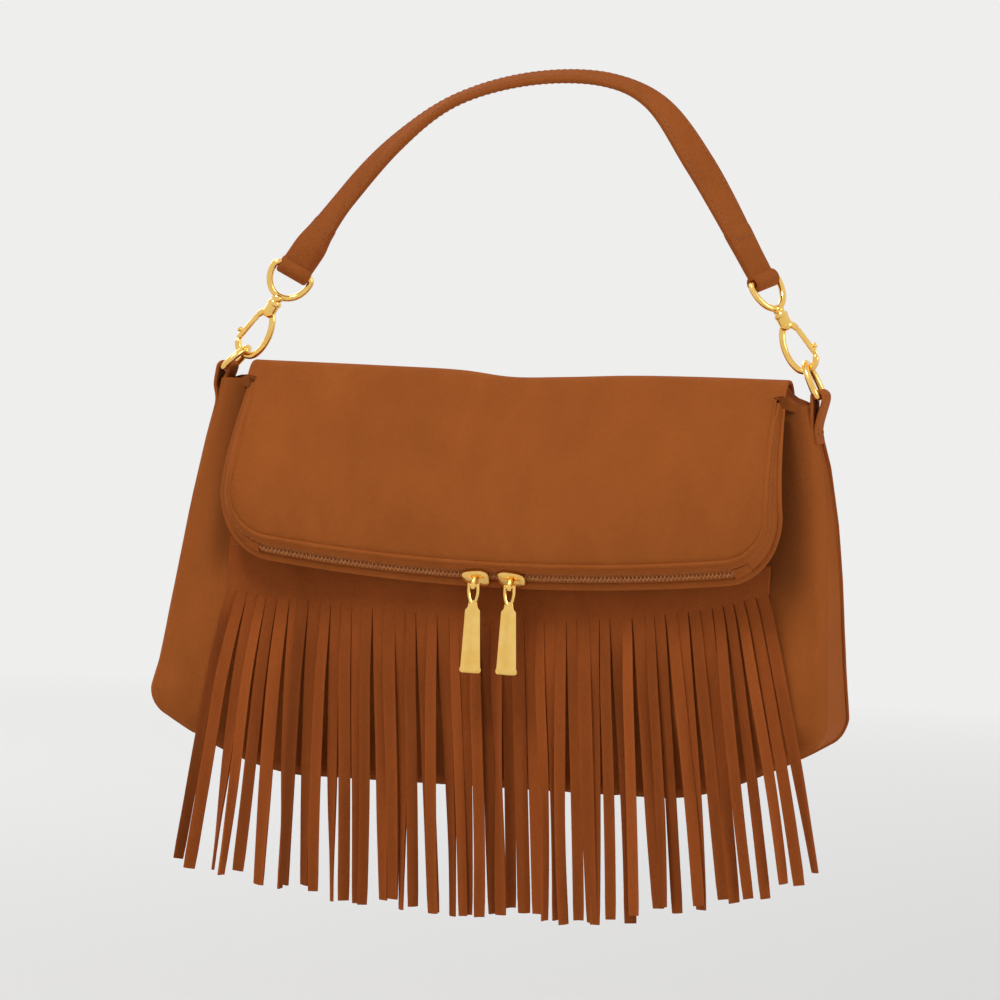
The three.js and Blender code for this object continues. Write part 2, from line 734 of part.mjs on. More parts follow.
function pull() {
  const bevel = 0.5;
  const plate = new THREE.ExtrudeGeometry(pullOutline(), {
    depth: PULL_THICKNESS - 2 * bevel, bevelEnabled: true, bevelThickness: bevel, bevelSize: bevel,
    bevelOffset: -bevel, bevelSegments: 1, curveSegments: 8,
  });
  plate.translate(0, 0, -PULL_THICKNESS / 2 + bevel);
  plate.rotateX(Math.PI / 2);
  const slot = LUG_WIDTH / 2 + GAP;
  const hole = PIN_RADIUS + GAP;
  let body = solid(plate);
  body = body.subtract(solid(boxAt(-slot, slot, -3, 3, -2.4, 5)));
  body = body.subtract(solid(rod(v3(-6, 0, 0), v3(6, 0, 0), hole, 12)));
  return geometryOf(body);
}

// Rings, tabs, hooks and strap

function contactOf(side) {
  return side < 0 ? CONTACT_LEFT : CONTACT_RIGHT;
}

function barOf(side) {
  return v3(side * RING_BAR_X, 0, RING_BAR_Z);
}

function dRing(side) {
  const bar = barOf(side);
  const crown = contactOf(side).clone().sub(bar);
  const height = crown.length();
  const up = crown.normalize();
  const normal = up.clone().cross(v3(0, 1, 0)).normalize();
  const points = [];
  const corner = 3;
  for (const y of [-RING_HALF + corner, 0, RING_HALF - corner]) {
    points.push([y, 0]);
  }
  points.push([RING_HALF - 0.9, 0.9], [RING_HALF, corner]);
  const rise = height - corner;
  for (let i = 1; i < 12; i++) {
    const angle = (Math.PI * i) / 12;
    points.push([RING_HALF * Math.cos(angle), corner + rise * Math.sin(angle)]);
  }
  points.push([-RING_HALF, corner], [-RING_HALF + 0.9, 0.9]);
  const path = points.map(([y, h]) => bar.clone().addScaledVector(v3(0, 1, 0), y).addScaledVector(up, h));
  return wire(path, normal, RING_WIRE, 8, true);
}

function tab(side) {
  const hole = RING_WIRE + GAP;
  const outer = hole + TAB_LAYER;
  const outline = bodyOutline();
  const slope = outline[1].clone().sub(outline[0]).normalize();
  const low = v3(outline[0].x, 0, outline[0].z).addScaledVector(slope, TAB_LENGTH);
  const half = TAB_WIDTH / 2 - GAP;
  const inner = GAP;
  const wide = inner + 2 * TAB_LAYER;
  const shape = new THREE.Shape();
  const out = v3(-slope.z, 0, slope.x);
  const start = outline[0].clone().addScaledVector(slope, -1.5);
  const corners = [
    start.clone().addScaledVector(out, inner), start.clone().addScaledVector(out, wide),
    low.clone().addScaledVector(out, wide), low.clone().addScaledVector(out, inner),
  ];
  corners.forEach((p, i) => (i ? shape.lineTo(p.x, p.z) : shape.moveTo(p.x, p.z)));
  shape.closePath();
  const plate = new THREE.ExtrudeGeometry(shape, { depth: 2 * half, bevelEnabled: false });
  plate.rotateX(Math.PI / 2);
  plate.translate(0, half, 0);
  const right = barOf(1);
  let body = solid(plate);
  body = body.add(solid(rod(right.clone().setY(-half), right.clone().setY(half), outer, 16)));
  body = body.subtract(solid(rod(right.clone().setY(-2 * half), right.clone().setY(2 * half), hole, 12)));
  const geometry = geometryOf(body);
  if (side < 0) {
    geometry.scale(-1, 1, 1);
    const index = geometry.index;
    geometry.setIndex(Array.from(index.array).reverse());
  }
  return geometry;
}

// Hook axes: u outwards, v to the back, w from the ring up to the strap.
function hookFrame(side) {
  const contact = contactOf(side);
  const w = (side < 0 ? AIM_LEFT : AIM_RIGHT).clone().normalize();
  const v = v3(0, 1, 0);
  const u = v.clone().cross(w).multiplyScalar(side);
  return { contact, u, v, w };
}

function inHook(frame, u, w, y = 0) {
  const point = frame.contact.clone().addScaledVector(frame.u, u);
  return point.addScaledVector(frame.w, w).addScaledVector(frame.v, y);
}

function curvePoints(frame, pairs, count) {
  const curve = new THREE.CatmullRomCurve3(pairs.map(([u, w]) => inHook(frame, u, w)));
  return curve.getPoints(count);
}

const GATE_HINGE = [3.6, 15.2];
const GATE_TIP = [5.4, 5.2];
const GATE_LEAF = 0.75; // half thickness of the gate's leaf between the hook's cheeks
const HINGE_PIN = 0.5; // radius
const HOOK_LINE = [
  [-1.2, 19], [-3.6, 15.6], [-5.5, 9.5], [-5.4, 2.5], [-3.4, -2],
  [0, -3.4], [3.3, -2.2], [5.1, 0.8], [5.4, 3.2],
];

function hook(side) {
  const frame = hookFrame(side);
  let body = solid(wire(curvePoints(frame, HOOK_LINE, 22), frame.v, HOOK_WIRE, 8));
  body = body.add(solid(rod(inHook(frame, 0, BARREL_LOW), inHook(frame, 0, BARREL_TOP), BARREL_RADIUS, 16)));
  const [hu, hw] = GATE_HINGE;
  body = body.add(solid(rod(inHook(frame, 1, BARREL_LOW + 1), inHook(frame, hu, hw + 0.8), HOOK_WIRE, 10)));
  const bore = rod(inHook(frame, 0, BARREL_TOP - 5), inHook(frame, 0, BARREL_TOP + 1), STEM_RADIUS + GAP, 12);
  body = body.subtract(solid(bore));
  const slot = GATE_LEAF + GAP;
  const clear = new THREE.SphereGeometry(1.9, 10, 8);
  clear.scale(1, slot / 1.9, 1);
  clear.translate(...inHook(frame, hu + 0.2, hw - 0.4).toArray());
  body = body.subtract(solid(clear));
  body = body.subtract(solid(rod(inHook(frame, hu, hw, -3), inHook(frame, hu, hw, 3), HINGE_PIN + GAP, 8)));
  return geometryOf(body);
}

function gate(side) {
  const frame = hookFrame(side);
  const [hu, hw] = GATE_HINGE;
  const [tu, tw] = GATE_TIP;
  const hinge = inHook(frame, hu, hw);
  const tip = inHook(frame, tu, tw);
  const along = tip.clone().sub(hinge).normalize();
  const side0 = along.clone().cross(frame.v).normalize();
  const stations = [0, 0.22, 0.34, 1].map((t) => {
    const thick = t < 0.3 ? GATE_LEAF : 1.2;
    return {
      origin: hinge.clone().lerp(tip, t),
      across: side0.clone().multiplyScalar(t < 0.3 ? 1.2 : 1.25),
      along: frame.v.clone().multiplyScalar(thick),
    };
  });
  let body = solid(sweep(stations, circleSection(1, 8)));
  const knob = new THREE.SphereGeometry(1.3, 10, 8);
  knob.translate(...hinge.clone().lerp(tip, 0.86).addScaledVector(frame.u, 1.5).toArray());
  body = body.add(solid(knob));
  body = body.subtract(solid(rod(inHook(frame, hu, hw, -3), inHook(frame, hu, hw, 3), HINGE_PIN + GAP, 8)));
  return geometryOf(body);
}

function gatePin(side) {
  const frame = hookFrame(side);
  const [hu, hw] = GATE_HINGE;
  return rod(inHook(frame, hu, hw, -1.6), inHook(frame, hu, hw, 1.6), HINGE_PIN, 8);
}

function eyeTurn(side) {
  return THREE.MathUtils.degToRad(side < 0 ? EYE_TURN_LEFT : EYE_TURN_RIGHT);
}

// The direction of the eye's bar, which is the strap's width direction there.
function barDirection(side) {
  const { u, v } = hookFrame(side);
  const turn = eyeTurn(side);
  return u.clone().multiplyScalar(side * Math.cos(turn)).addScaledVector(v, Math.sin(turn));
}

const EYE_LOW = 27;

function hookEye(side) {
  const frame = hookFrame(side);
  const bar = barDirection(side);
  const normal = bar.clone().cross(frame.w).normalize();
  const pairs = [[0, EYE_HEIGHT], [6, EYE_HEIGHT]];
  const corner = 2;
  pairs.push([EYE_HALF - 0.6, EYE_HEIGHT - 0.6], [EYE_HALF, EYE_HEIGHT - corner]);
  const drop = EYE_HEIGHT - corner - EYE_LOW;
  for (let i = 1; i <= 6; i++) {
    const angle = (Math.PI / 2) * (i / 6);
    pairs.push([EYE_HALF * Math.cos(angle), EYE_LOW + drop * (1 - Math.sin(angle))]);
  }
  const left = pairs.slice(1, -1).reverse().map(([b, w]) => [-b, w]);
  const path = [...pairs, ...left].map(([b, w]) => inHook(frame, 0, w).addScaledVector(bar, b));
  let body = solid(wire(path, normal, HOOK_WIRE, 8, true));
  body = body.add(solid(rod(inHook(frame, 0, BARREL_TOP + GAP), inHook(frame, 0, EYE_LOW + 0.6), 2.4, 12)));
  body = body.add(solid(rod(inHook(frame, 0, BARREL_TOP - 4.5), inHook(frame, 0, EYE_LOW), STEM_RADIUS, 10)));
  return geometryOf(body);
}

function strapEnd(side) {
  return inHook(hookFrame(side), 0, EYE_HEIGHT);
}

function strapCurve() {
  const arch = STRAP_KNOTS.map(([x, z]) => v3(x, 0, z));
  return new THREE.CatmullRomCurve3([strapEnd(-1), ...arch, strapEnd(1)], false, 'centripetal');
}

// How far the strap's width is turned out of the picture plane along its length, in degrees.
function strapTurn(t) {
  const stops = [
    [0, EYE_TURN_LEFT], [0.14, 48], [0.4, STRAP_TURN_CROWN],
    [0.62, STRAP_TURN_CROWN], [0.8, 42], [1, EYE_TURN_RIGHT],
  ];
  const i = stops.findIndex(([at]) => t <= at);
  const [a, b] = [stops[Math.max(i - 1, 0)], stops[i]];
  const part = b[0] > a[0] ? (t - a[0]) / (b[0] - a[0]) : 0;
  return a[1] + (b[1] - a[1]) * THREE.MathUtils.smoothstep(part, 0, 1);
}

function strapSection() {
  const [w, d, r] = [STRAP_WIDTH / 2, STRAP_THICKNESS / 2, 1.6];
  const points = [];
  for (const [x, y] of [[1, 1], [-1, 1], [-1, -1], [1, -1]]) {
    const ends = [[w, d - r], [w - 0.3 * r, d - 0.3 * r], [w - r, d]];
    const ordered = x * y > 0 ? ends : ends.reverse();
    ordered.forEach(([p, q]) => points.push([x * p, y * q]));
  }
  return points;
}

function strap() {
  const curve = strapCurve();
  const count = 32;
  const stations = [];
  for (let i = 0; i <= count; i++) {
    const t = i / count;
    const ahead = curve.getTangentAt(t);
    const flat = ahead.clone().cross(v3(0, 1, 0)).normalize();
    const turn = THREE.MathUtils.degToRad(strapTurn(t));
    const width = flat.clone().multiplyScalar(Math.cos(turn)).addScaledVector(v3(0, 1, 0), Math.sin(turn));
    const endTurn = i === 0 ? barDirection(-1) : i === count ? barDirection(1) : width;
    const aligned = endTurn.dot(width) < 0 ? endTurn.clone().negate() : endTurn;
    const thin = Math.min(1, 0.7 + 3 * Math.min(t, 1 - t));
    const depth = ahead.clone().cross(aligned).normalize().multiplyScalar(thin);
    stations.push({ origin: curve.getPointAt(t), across: aligned, along: depth });
  }
  let body = solid(sweep(stations, strapSection()));
  for (const side of [-1, 1]) {
    const end = strapEnd(side);
    const bar = barDirection(side).multiplyScalar(STRAP_WIDTH / 2);
    const hole = HOOK_WIRE + GAP;
    body = body.add(solid(rod(end.clone().sub(bar), end.clone().add(bar), hole + 2.2, 18)));
    const long = bar.clone().multiplyScalar(2);
    body = body.subtract(solid(rod(end.clone().sub(long), end.clone().add(long), hole, 14)));
  }
  return geometryOf(body);
}

// Assembly

add('strap', strap(), suede);
add('front_panel', frontPanel(), suede);
add('back_panel', backPanel(), suede);
add('base_panel', basePanel(), suede);
add('base_board', baseBoard(), board);
add('lining', lining(), fabric);
add('inner_pocket', innerPocket(), fabric);
add('fringe', fringe(), suede);

const panelEdge = PIPING_RADIUS + 2.5 * GAP;
add('flap_outer', flapPanel(0, panelEdge, FLAP_SUEDE), suede);
add('flap_inner', flapPanel(1, 4 * GAP, FLAP_SUEDE), suedeInside);
add('flap_piping', piping(), suede);
add('zip_facing_outer', bandStrip(-FACING_OUTER, -TAPE_OUTER - GAP, FLAP_SUEDE), suede);
add('zip_facing_inner', bandStrip(TAPE_OUTER + GAP, FACING_OUTER, FLAP_SUEDE), suede);
add('zip_tape_outer', zipStrip(-TAPE_OUTER, -TEETH_OUTER - GAP, TAPE_THICKNESS), tape);
add('zip_tape_inner', zipStrip(TEETH_OUTER + GAP, TAPE_OUTER, TAPE_THICKNESS), tape);
add('zip_teeth_outer', zipStrip(-TEETH_OUTER, -TEETH_INNER, TEETH_THICKNESS), coil);
add('zip_teeth_inner', zipStrip(TEETH_INNER, TEETH_OUTER, TEETH_THICKNESS), coil);

for (const [name, side] of [['left', -1], ['right', 1]]) {
  add(`gusset_${name}`, gusset(side), suede);
  add(`tab_${name}`, tab(side), suede);
  add(`d_ring_${name}`, dRing(side), gold);
  add(`hook_${name}`, hook(side), gold);
  add(`hook_gate_${name}`, gate(side), gold);
  add(`gate_pin_${name}`, gatePin(side), gold);
  add(`hook_eye_${name}`, hookEye(side), gold);
  add(`zip_stop_${name}`, zipStop(side), gold);
  add(`band_end_${name}`, bandEnd(side), suede);
  const carrier = sliderGroup(side);
  carrier.add(add(`zip_slider_${name}`, slider(), gold));
  const hanging = add(`zip_pull_${name}`, pull(), gold);
  const pin = outwards.clone().multiplyScalar(PIN_STANDOFF);
  hanging.position.set(0, pin.y, pin.z - arcReach);
  hanging.rotation.y = side * ((SLIDER_SPACING / 2) / arcReach);
  carrier.add(hanging);
  bag.add(carrier);
}

const crown = strapCurve().getPoint(0.5);
const GRIP_HEIGHT = crown.z - STRAP_THICKNESS / 2;
bag.position.z = -GRIP_HEIGHT;

export default bag;
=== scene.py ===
# %% [markdown]
# A small bag of tan suede folds over at its top: the folded part is closed by a zip round its lower edge, a
# fringe hangs below it, and a short strap is clipped to two rings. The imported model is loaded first,
# because it fixes where every piece is. The work here is to give each piece the form and the finish of the
# real thing.

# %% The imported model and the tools
import math

import bpy
import numpy as np
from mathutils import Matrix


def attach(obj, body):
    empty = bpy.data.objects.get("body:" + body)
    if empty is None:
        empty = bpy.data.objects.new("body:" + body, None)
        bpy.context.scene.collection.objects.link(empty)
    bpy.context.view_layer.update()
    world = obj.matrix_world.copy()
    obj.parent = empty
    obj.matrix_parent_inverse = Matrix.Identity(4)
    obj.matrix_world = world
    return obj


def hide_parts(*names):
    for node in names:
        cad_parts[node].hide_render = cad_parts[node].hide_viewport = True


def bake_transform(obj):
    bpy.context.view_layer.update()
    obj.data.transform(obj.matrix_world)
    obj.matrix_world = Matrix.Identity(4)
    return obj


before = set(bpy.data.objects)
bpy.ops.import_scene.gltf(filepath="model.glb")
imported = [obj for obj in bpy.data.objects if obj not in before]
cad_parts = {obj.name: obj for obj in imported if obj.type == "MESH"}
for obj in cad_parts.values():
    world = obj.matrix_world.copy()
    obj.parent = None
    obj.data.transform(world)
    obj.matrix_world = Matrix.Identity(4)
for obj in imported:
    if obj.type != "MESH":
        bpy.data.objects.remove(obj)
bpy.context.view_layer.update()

# %% [markdown]
# All lengths below are in millimetres, with height zero on the top fold and the base below it. The packed
# model has its zero under the strap's crown, so one function turns these points into the model's metres.

# %% Units
GRIP_HEIGHT = 126.5  # from the top fold up to the underside of the strap's crown
MILLIMETRE = 0.001


def in_metres(points):
    """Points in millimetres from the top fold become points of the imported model."""
    return (np.asarray(points, float) - (0, 0, GRIP_HEIGHT)) * MILLIMETRE


def unit(vectors):
    """Each vector divided by its own length."""
    return vectors / np.linalg.norm(vectors, axis=-1, keepdims=True)


def heading_of(path):
    """The direction of a path at each of its points."""
    return unit(np.gradient(path, axis=0))


def travelled(path):
    """How far along a path each of its points is."""
    return np.concatenate([[0], np.cumsum(np.linalg.norm(np.diff(path, axis=0), axis=1))])


def powered(values, power):
    """Each value raised to a power, with its sign kept."""
    return np.sign(values) * np.abs(values) ** power


def ease(low, high, value):
    """0 below low, 1 above high and a smooth S between them: 3 t t - 2 t t t."""
    t = np.clip((value - low) / (high - low), 0, 1)
    return t * t * (3 - 2 * t)


# %% [markdown]
# The photograph was taken from a little to the right of the bag's front and almost level with it, about
# three metres away, and the bag hangs a few degrees off the vertical. The camera stands at that place and
# turns to the bag, and a longer lens brings the bag closer. Moving nearer would be simpler, but it would
# spread the bag's near parts and change its outline.

# %% Camera
PHOTO_SIDE = 1000  # the photograph is square; this and the next are in its pixels
PHOTO_FOCAL = 2414.0
STAND_OFF = 3280.0
AZIMUTH, ELEVATION, ROLL = np.radians([12.5, 2.0, 2.4])
FOLD_PIXEL = (470.5, 505.0)  # where the middle of the top fold is in the photograph
AIM_PIXEL = (463.5, 546.0)  # the middle of the bag in the photograph
CLOSER = 3.1
SENSOR = 36.0

towards = np.array([
    math.sin(AZIMUTH) * math.cos(ELEVATION), -math.cos(AZIMUTH) * math.cos(ELEVATION), math.sin(ELEVATION)])
level = np.array([math.cos(AZIMUTH), math.sin(AZIMUTH), 0.0])
rise = np.cross(towards, level)
right = level * math.cos(ROLL) + rise * math.sin(ROLL)
above = rise * math.cos(ROLL) - level * math.sin(ROLL)


def sight(pixel):
    """The direction from the camera through a pixel, scaled to one unit of depth."""
    across, down = (np.array(pixel) - PHOTO_SIDE / 2) / PHOTO_FOCAL
    return across * right - down * above - towards


eye = -sight(FOLD_PIXEL) * STAND_OFF
ahead = unit(sight(AIM_PIXEL))
top_of_view = unit(above - ahead * (above @ ahead))
side_of_view = np.cross(ahead, top_of_view)
camera_data = bpy.data.cameras.new("camera")
camera_data.sensor_width = SENSOR
camera_data.lens = SENSOR * PHOTO_FOCAL * CLOSER / PHOTO_SIDE
camera = bpy.data.objects.new("camera", camera_data)
bpy.context.scene.collection.objects.link(camera)
pose = np.eye(4)
pose[:3] = np.stack([side_of_view, top_of_view, -ahead, in_metres(eye)], -1)
camera.matrix_world = pose.T.tolist()
camera_data.clip_start, camera_data.clip_end = 0.1, 50
bpy.context.scene.camera = camera
print("camera at", in_metres(eye).round(3), "lens", round(camera_data.lens, 1))

# %% [markdown]
# Every shape is a grid of points, so a few helpers are enough for the whole bag: one joins a grid into
# faces, one gives a sheet its thickness with rounded edges, and one carries a flat section along a path.

# %% Helpers for shapes
SIDEWAYS, BACK = np.array([1.0, 0, 0]), np.array([0, 1.0, 0])


def grid_faces(rows, columns, around=False, closed=False):
    """Faces between neighbours of a grid; around joins the last column to the first, closed the last row."""
    i = np.arange(rows if closed else rows - 1)[:, None]
    j = np.arange(columns if around else columns - 1)[None, :]
    below, beside = (i + 1) % rows, (j + 1) % columns
    corners = [i * columns + j, i * columns + beside, below * columns + beside, below * columns + j]
    return np.stack(np.broadcast_arrays(*corners), -1).reshape(-1, 4)


def grid_normals(grid):
    """The unit normal at each point of a grid, from the cross product of its two directions."""
    down, across = np.gradient(grid, axis=0), np.gradient(grid, axis=1)
    return unit(np.cross(down, across))


def soft_sheet(grid, thickness, corner_steps=4):
    """A closed sheet round a grid: both faces lie half the thickness off it, and the rim is a half circle."""
    rows, columns = grid.shape[:2]
    normal = grid_normals(grid)
    half = thickness / 2
    face = np.concatenate([(grid + normal * half).reshape(-1, 3), (grid - normal * half).reshape(-1, 3)])
    i = np.concatenate([np.zeros(columns - 1), np.arange(rows - 1), np.full(columns - 1, rows - 1),
                        np.arange(rows - 1, 0, -1)]).astype(int)
    j = np.concatenate([np.arange(columns - 1), np.full(rows - 1, columns - 1), np.arange(columns - 1, 0, -1),
                        np.zeros(rows - 1)]).astype(int)
    inside = grid[np.clip(i, 1, rows - 2), np.clip(j, 1, columns - 2)]
    outwards = unit(grid[i, j] - inside)
    rings = [i * columns + j]
    points = [face]
    count = len(face)
    for step in range(1, corner_steps):
        angle = math.pi * step / corner_steps
        ring = grid[i, j] + (normal[i, j] * math.cos(angle) + outwards * math.sin(angle)) * half
        points.append(ring)
        rings.append(np.arange(count, count + len(ring)))
        count += len(ring)
    rings.append(rings[0] + rows * columns)
    rim = []
    for a, b in zip(rings[:-1], rings[1:]):
        rim.append(np.stack([a, b, np.roll(b, -1), np.roll(a, -1)], -1))
    front = grid_faces(rows, columns)[:, ::-1]
    back = grid_faces(rows, columns) + rows * columns
    return np.concatenate(points), np.concatenate([front, back, *rim])


def tube_faces(rows, columns):
    """Faces of a grid that closes on itself sideways, with a flat face at each end."""
    ends = [list(range(columns))[::-1], list(range((rows - 1) * columns, rows * columns))]
    return grid_faces(rows, columns, around=True).tolist() + ends


def carry(section, origins, across, along, closed=False):
    """A section of (across, along) points carried along a path; unless closed, each end gets a face."""
    section = np.asarray(section, float)
    across, along = (np.broadcast_to(direction, origins.shape) for direction in (across, along))
    if section.ndim == 2:
        section = np.broadcast_to(section, (len(origins), *section.shape))
    points = origins[:, None] + section[..., :1] * across[:, None] + section[..., 1:] * along[:, None]
    rows, columns = points.shape[:2]
    faces = grid_faces(rows, columns, around=True, closed=True) if closed else tube_faces(rows, columns)
    return points.reshape(-1, 3), faces


def circle(radius, sides):
    """Points of a circle."""
    angle = np.arange(sides) * 2 * math.pi / sides
    return np.stack([np.cos(angle), np.sin(angle)], -1) * radius


def tube(path, radius, normal, sides=16, closed=False):
    """A round wire along a path; normal is square to the path's plane, or is given for each point."""
    path = np.asarray(path, float)
    if closed:
        heading = unit(np.roll(path, -1, 0) - np.roll(path, 1, 0))
    else:
        heading = heading_of(path)
    normal = np.broadcast_to(np.asarray(normal, float), path.shape)
    across = unit(np.cross(heading, normal))
    radius = np.broadcast_to(radius, len(path))[:, None, None]
    return carry(circle(1, sides) * radius, path, across, np.cross(across, heading), closed)


def smooth_path(knots, count):
    """A curve through the knots, evenly spaced: a cubic between each pair, with the neighbours' slope."""
    knots = np.asarray(knots, float)
    reach = np.concatenate([[0], np.cumsum(np.linalg.norm(np.diff(knots, axis=0), axis=1) ** 0.5)])
    slopes = np.gradient(knots, reach, axis=0)
    t = np.linspace(0, reach[-1], count * 8)
    k = np.clip(np.searchsorted(reach, t, side="right") - 1, 0, len(knots) - 2)
    span = (reach[k + 1] - reach[k])[:, None]
    s = ((t - reach[k])[:, None]) / span
    dense = (knots[k] * (1 + 2 * s) * (1 - s) ** 2 + knots[k + 1] * s * s * (3 - 2 * s)
             + slopes[k] * span * s * (1 - s) ** 2 - slopes[k + 1] * span * s * s * (1 - s))
    return evenly(dense, count)


def evenly(path, count):
    """The same path with its points at equal distances along it."""
    length = travelled(path)
    at = np.linspace(0, length[-1], count)
    return np.stack([np.interp(at, length, path[:, k]) for k in range(path.shape[1])], -1)


def joined(*parts):
    """Several (points, faces) pairs as one."""
    points, faces, count = [], [], 0
    for p, f in parts:
        points.append(np.asarray(p, float))
        faces.extend([[int(v) + count for v in face] for face in f])
        count += len(p)
    return np.concatenate(points), faces


def spun(profile, base, axis, sides=28):
    """A (radius, height) profile turned round an axis."""
    axis = unit(np.asarray(axis, float))
    side = unit(np.cross(axis, [0.3, 0.8, 0.5]))
    profile = np.asarray(profile, float)
    origins = np.asarray(base, float) + profile[:, 1:] * axis
    section = circle(1, sides) * np.maximum(profile[:, 0], 1e-3)[:, None, None]
    return carry(section, origins, side, np.cross(axis, side))


def piece(name, shape, finish, body=None, stands_for=(), crease=40, shade=None):
    """Puts a shape into the scene and on a body; edges sharper than crease degrees stay sharp."""
    points, faces = shape
    mesh = bpy.data.meshes.new(name)
    mesh.from_pydata(in_metres(points).tolist(), [], [list(map(int, f)) for f in faces])
    mesh.polygons.foreach_set("use_smooth", np.ones(len(mesh.polygons), bool))
    mesh.set_sharp_from_angle(angle=math.radians(crease))
    mesh.materials.append(finish)
    if shade is not None:
        values = mesh.attributes.new("shade", "FLOAT", "POINT").data
        values.foreach_set("value", np.asarray(shade, np.float32))
    made = bpy.data.objects.new(name, mesh)
    bpy.context.scene.collection.objects.link(made)
    if body:
        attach(made, body)
    if stands_for:
        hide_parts(*stands_for)
    print(f"{name}: {len(points)} points, {len(faces)} faces")
    return made


# %% [markdown]
# A finish is a graph of nodes, and most of it is arithmetic on masks. The class below wraps a node's output
# so that ordinary Python sums build that graph, which reads better than dozens of lines that link sockets.

# %% Helpers for finishes


class Mask:
    """One output of a node, on which + and * add Math nodes."""

    def __init__(self, tree, socket):
        self.tree, self.socket = tree, socket

    def sum_node(self, operation, other):
        node = self.tree.nodes.new("ShaderNodeMath")
        node.operation = operation
        feed(self.tree, node.inputs[0], self)
        feed(self.tree, node.inputs[1], other)
        return Mask(self.tree, node.outputs[0])

    def __add__(self, other):
        return self.sum_node("ADD", other)

    def __mul__(self, other):
        return self.sum_node("MULTIPLY", other)

    def step(self, low, high):
        """0 below low, 1 above high, an even ramp between."""
        node = self.tree.nodes.new("ShaderNodeMapRange")
        feed(self.tree, node.inputs["Value"], self)
        node.inputs["From Min"].default_value = low
        node.inputs["From Max"].default_value = high
        return Mask(self.tree, node.outputs["Result"])


def feed(tree, socket, value):
    """A value or a link goes into a socket."""
    if isinstance(value, Mask):
        tree.links.new(value.socket, socket)
    elif isinstance(value, tuple) and len(value) == 3 and socket.type == "RGBA":
        socket.default_value = (*value, 1)
    else:
        socket.default_value = value


def ink(red, green, blue):
    """A colour as it looks on screen, from 0 to 255 a channel, in the linear numbers that shaders use."""
    screen = np.array([red, green, blue]) / 255
    return tuple(np.where(screen <= 0.04045, screen / 12.92, ((screen + 0.055) / 1.055) ** 2.4).tolist())


class Finish:
    """A material that is being made: a shader, and the nodes that feed it."""

    def __init__(self, name):
        self.material = bpy.data.materials.new(name)
        self.material.use_nodes = True
        self.tree = self.material.node_tree
        self.tree.nodes.clear()
        self.shader = self.tree.nodes.new("ShaderNodeBsdfPrincipled")
        output = self.tree.nodes.new("ShaderNodeOutputMaterial")
        self.tree.links.new(self.shader.outputs[0], output.inputs["Surface"])
        coordinates = self.tree.nodes.new("ShaderNodeTexCoord")
        self.place = Mask(self.tree, coordinates.outputs["Object"])

    def node(self, kind, settings=(), inputs=(), output=0):
        """Adds a node of any kind: its settings first, then the values or links of its sockets."""
        node = self.tree.nodes.new("ShaderNode" + kind)
        for key, value in dict(settings).items():
            setattr(node, key, value)
        for key, value in dict(inputs).items():
            feed(self.tree, node.inputs[key], value)
        return Mask(self.tree, node.outputs[output])

    def noise(self, scale, detail=3, roughness=0.55, place=None, distortion=0.0):
        """Cloudy noise from 0 to 1; scale is in features a metre."""
        inputs = {"Vector": place or self.place, "Scale": scale, "Detail": detail, "Roughness": roughness,
                  "Distortion": distortion}
        return self.node("TexNoise", {}, inputs)

    def waves(self, way, scale, distortion=0.0):
        """Parallel waves from 0 to 1 that follow each other along an axis or a slant."""
        return self.node("TexWave", {"wave_type": "BANDS", "bands_direction": way},
                         {"Vector": self.place, "Scale": scale, "Distortion": distortion})

    def stretched(self, factors):
        """Coordinates multiplied by a factor an axis."""
        return self.node("Mapping", {}, {"Vector": self.place, "Scale": factors})

    def mix(self, mask, first, second):
        """first where the mask is 0, second where it is 1."""
        return self.node("Mix", {"data_type": "RGBA"}, {0: mask, 6: first, 7: second}, 2)

    def set(self, **values):
        """Values or links for the shader's own sockets, with _ for the spaces in their names."""
        for name, value in values.items():
            feed(self.tree, self.shader.inputs[name.replace("_", " ")], value)

    def made(self, colour, relief, distance, strength, **values):
        """Sets the colour, the relief and any other sockets, and gives the material."""
        self.set(Base_Color=colour, Normal=self.bump(relief, distance, strength), **values)
        return self.material

    def bump(self, height, distance, strength, under=None):
        """A relief of so many metres that feeds Normal; under is a coarser relief below it."""
        inputs = {"Height": height, "Distance": distance, "Strength": strength}
        if under is not None:
            inputs["Normal"] = under
        return self.node("Bump", {}, inputs)


# %% [markdown]
# Suede is the flesh side of leather, sanded to a short nap. It has hardly any gloss. What the eye reads is
# fine grain, broad patches where the nap was brushed one way or the other, and a soft light rim where it is
# seen along the surface. Noise at three scales gives the first two, and the shader's sheen gives the rim.

# %% Suede
GRAIN = 0.16  # how strongly pores and fibres show


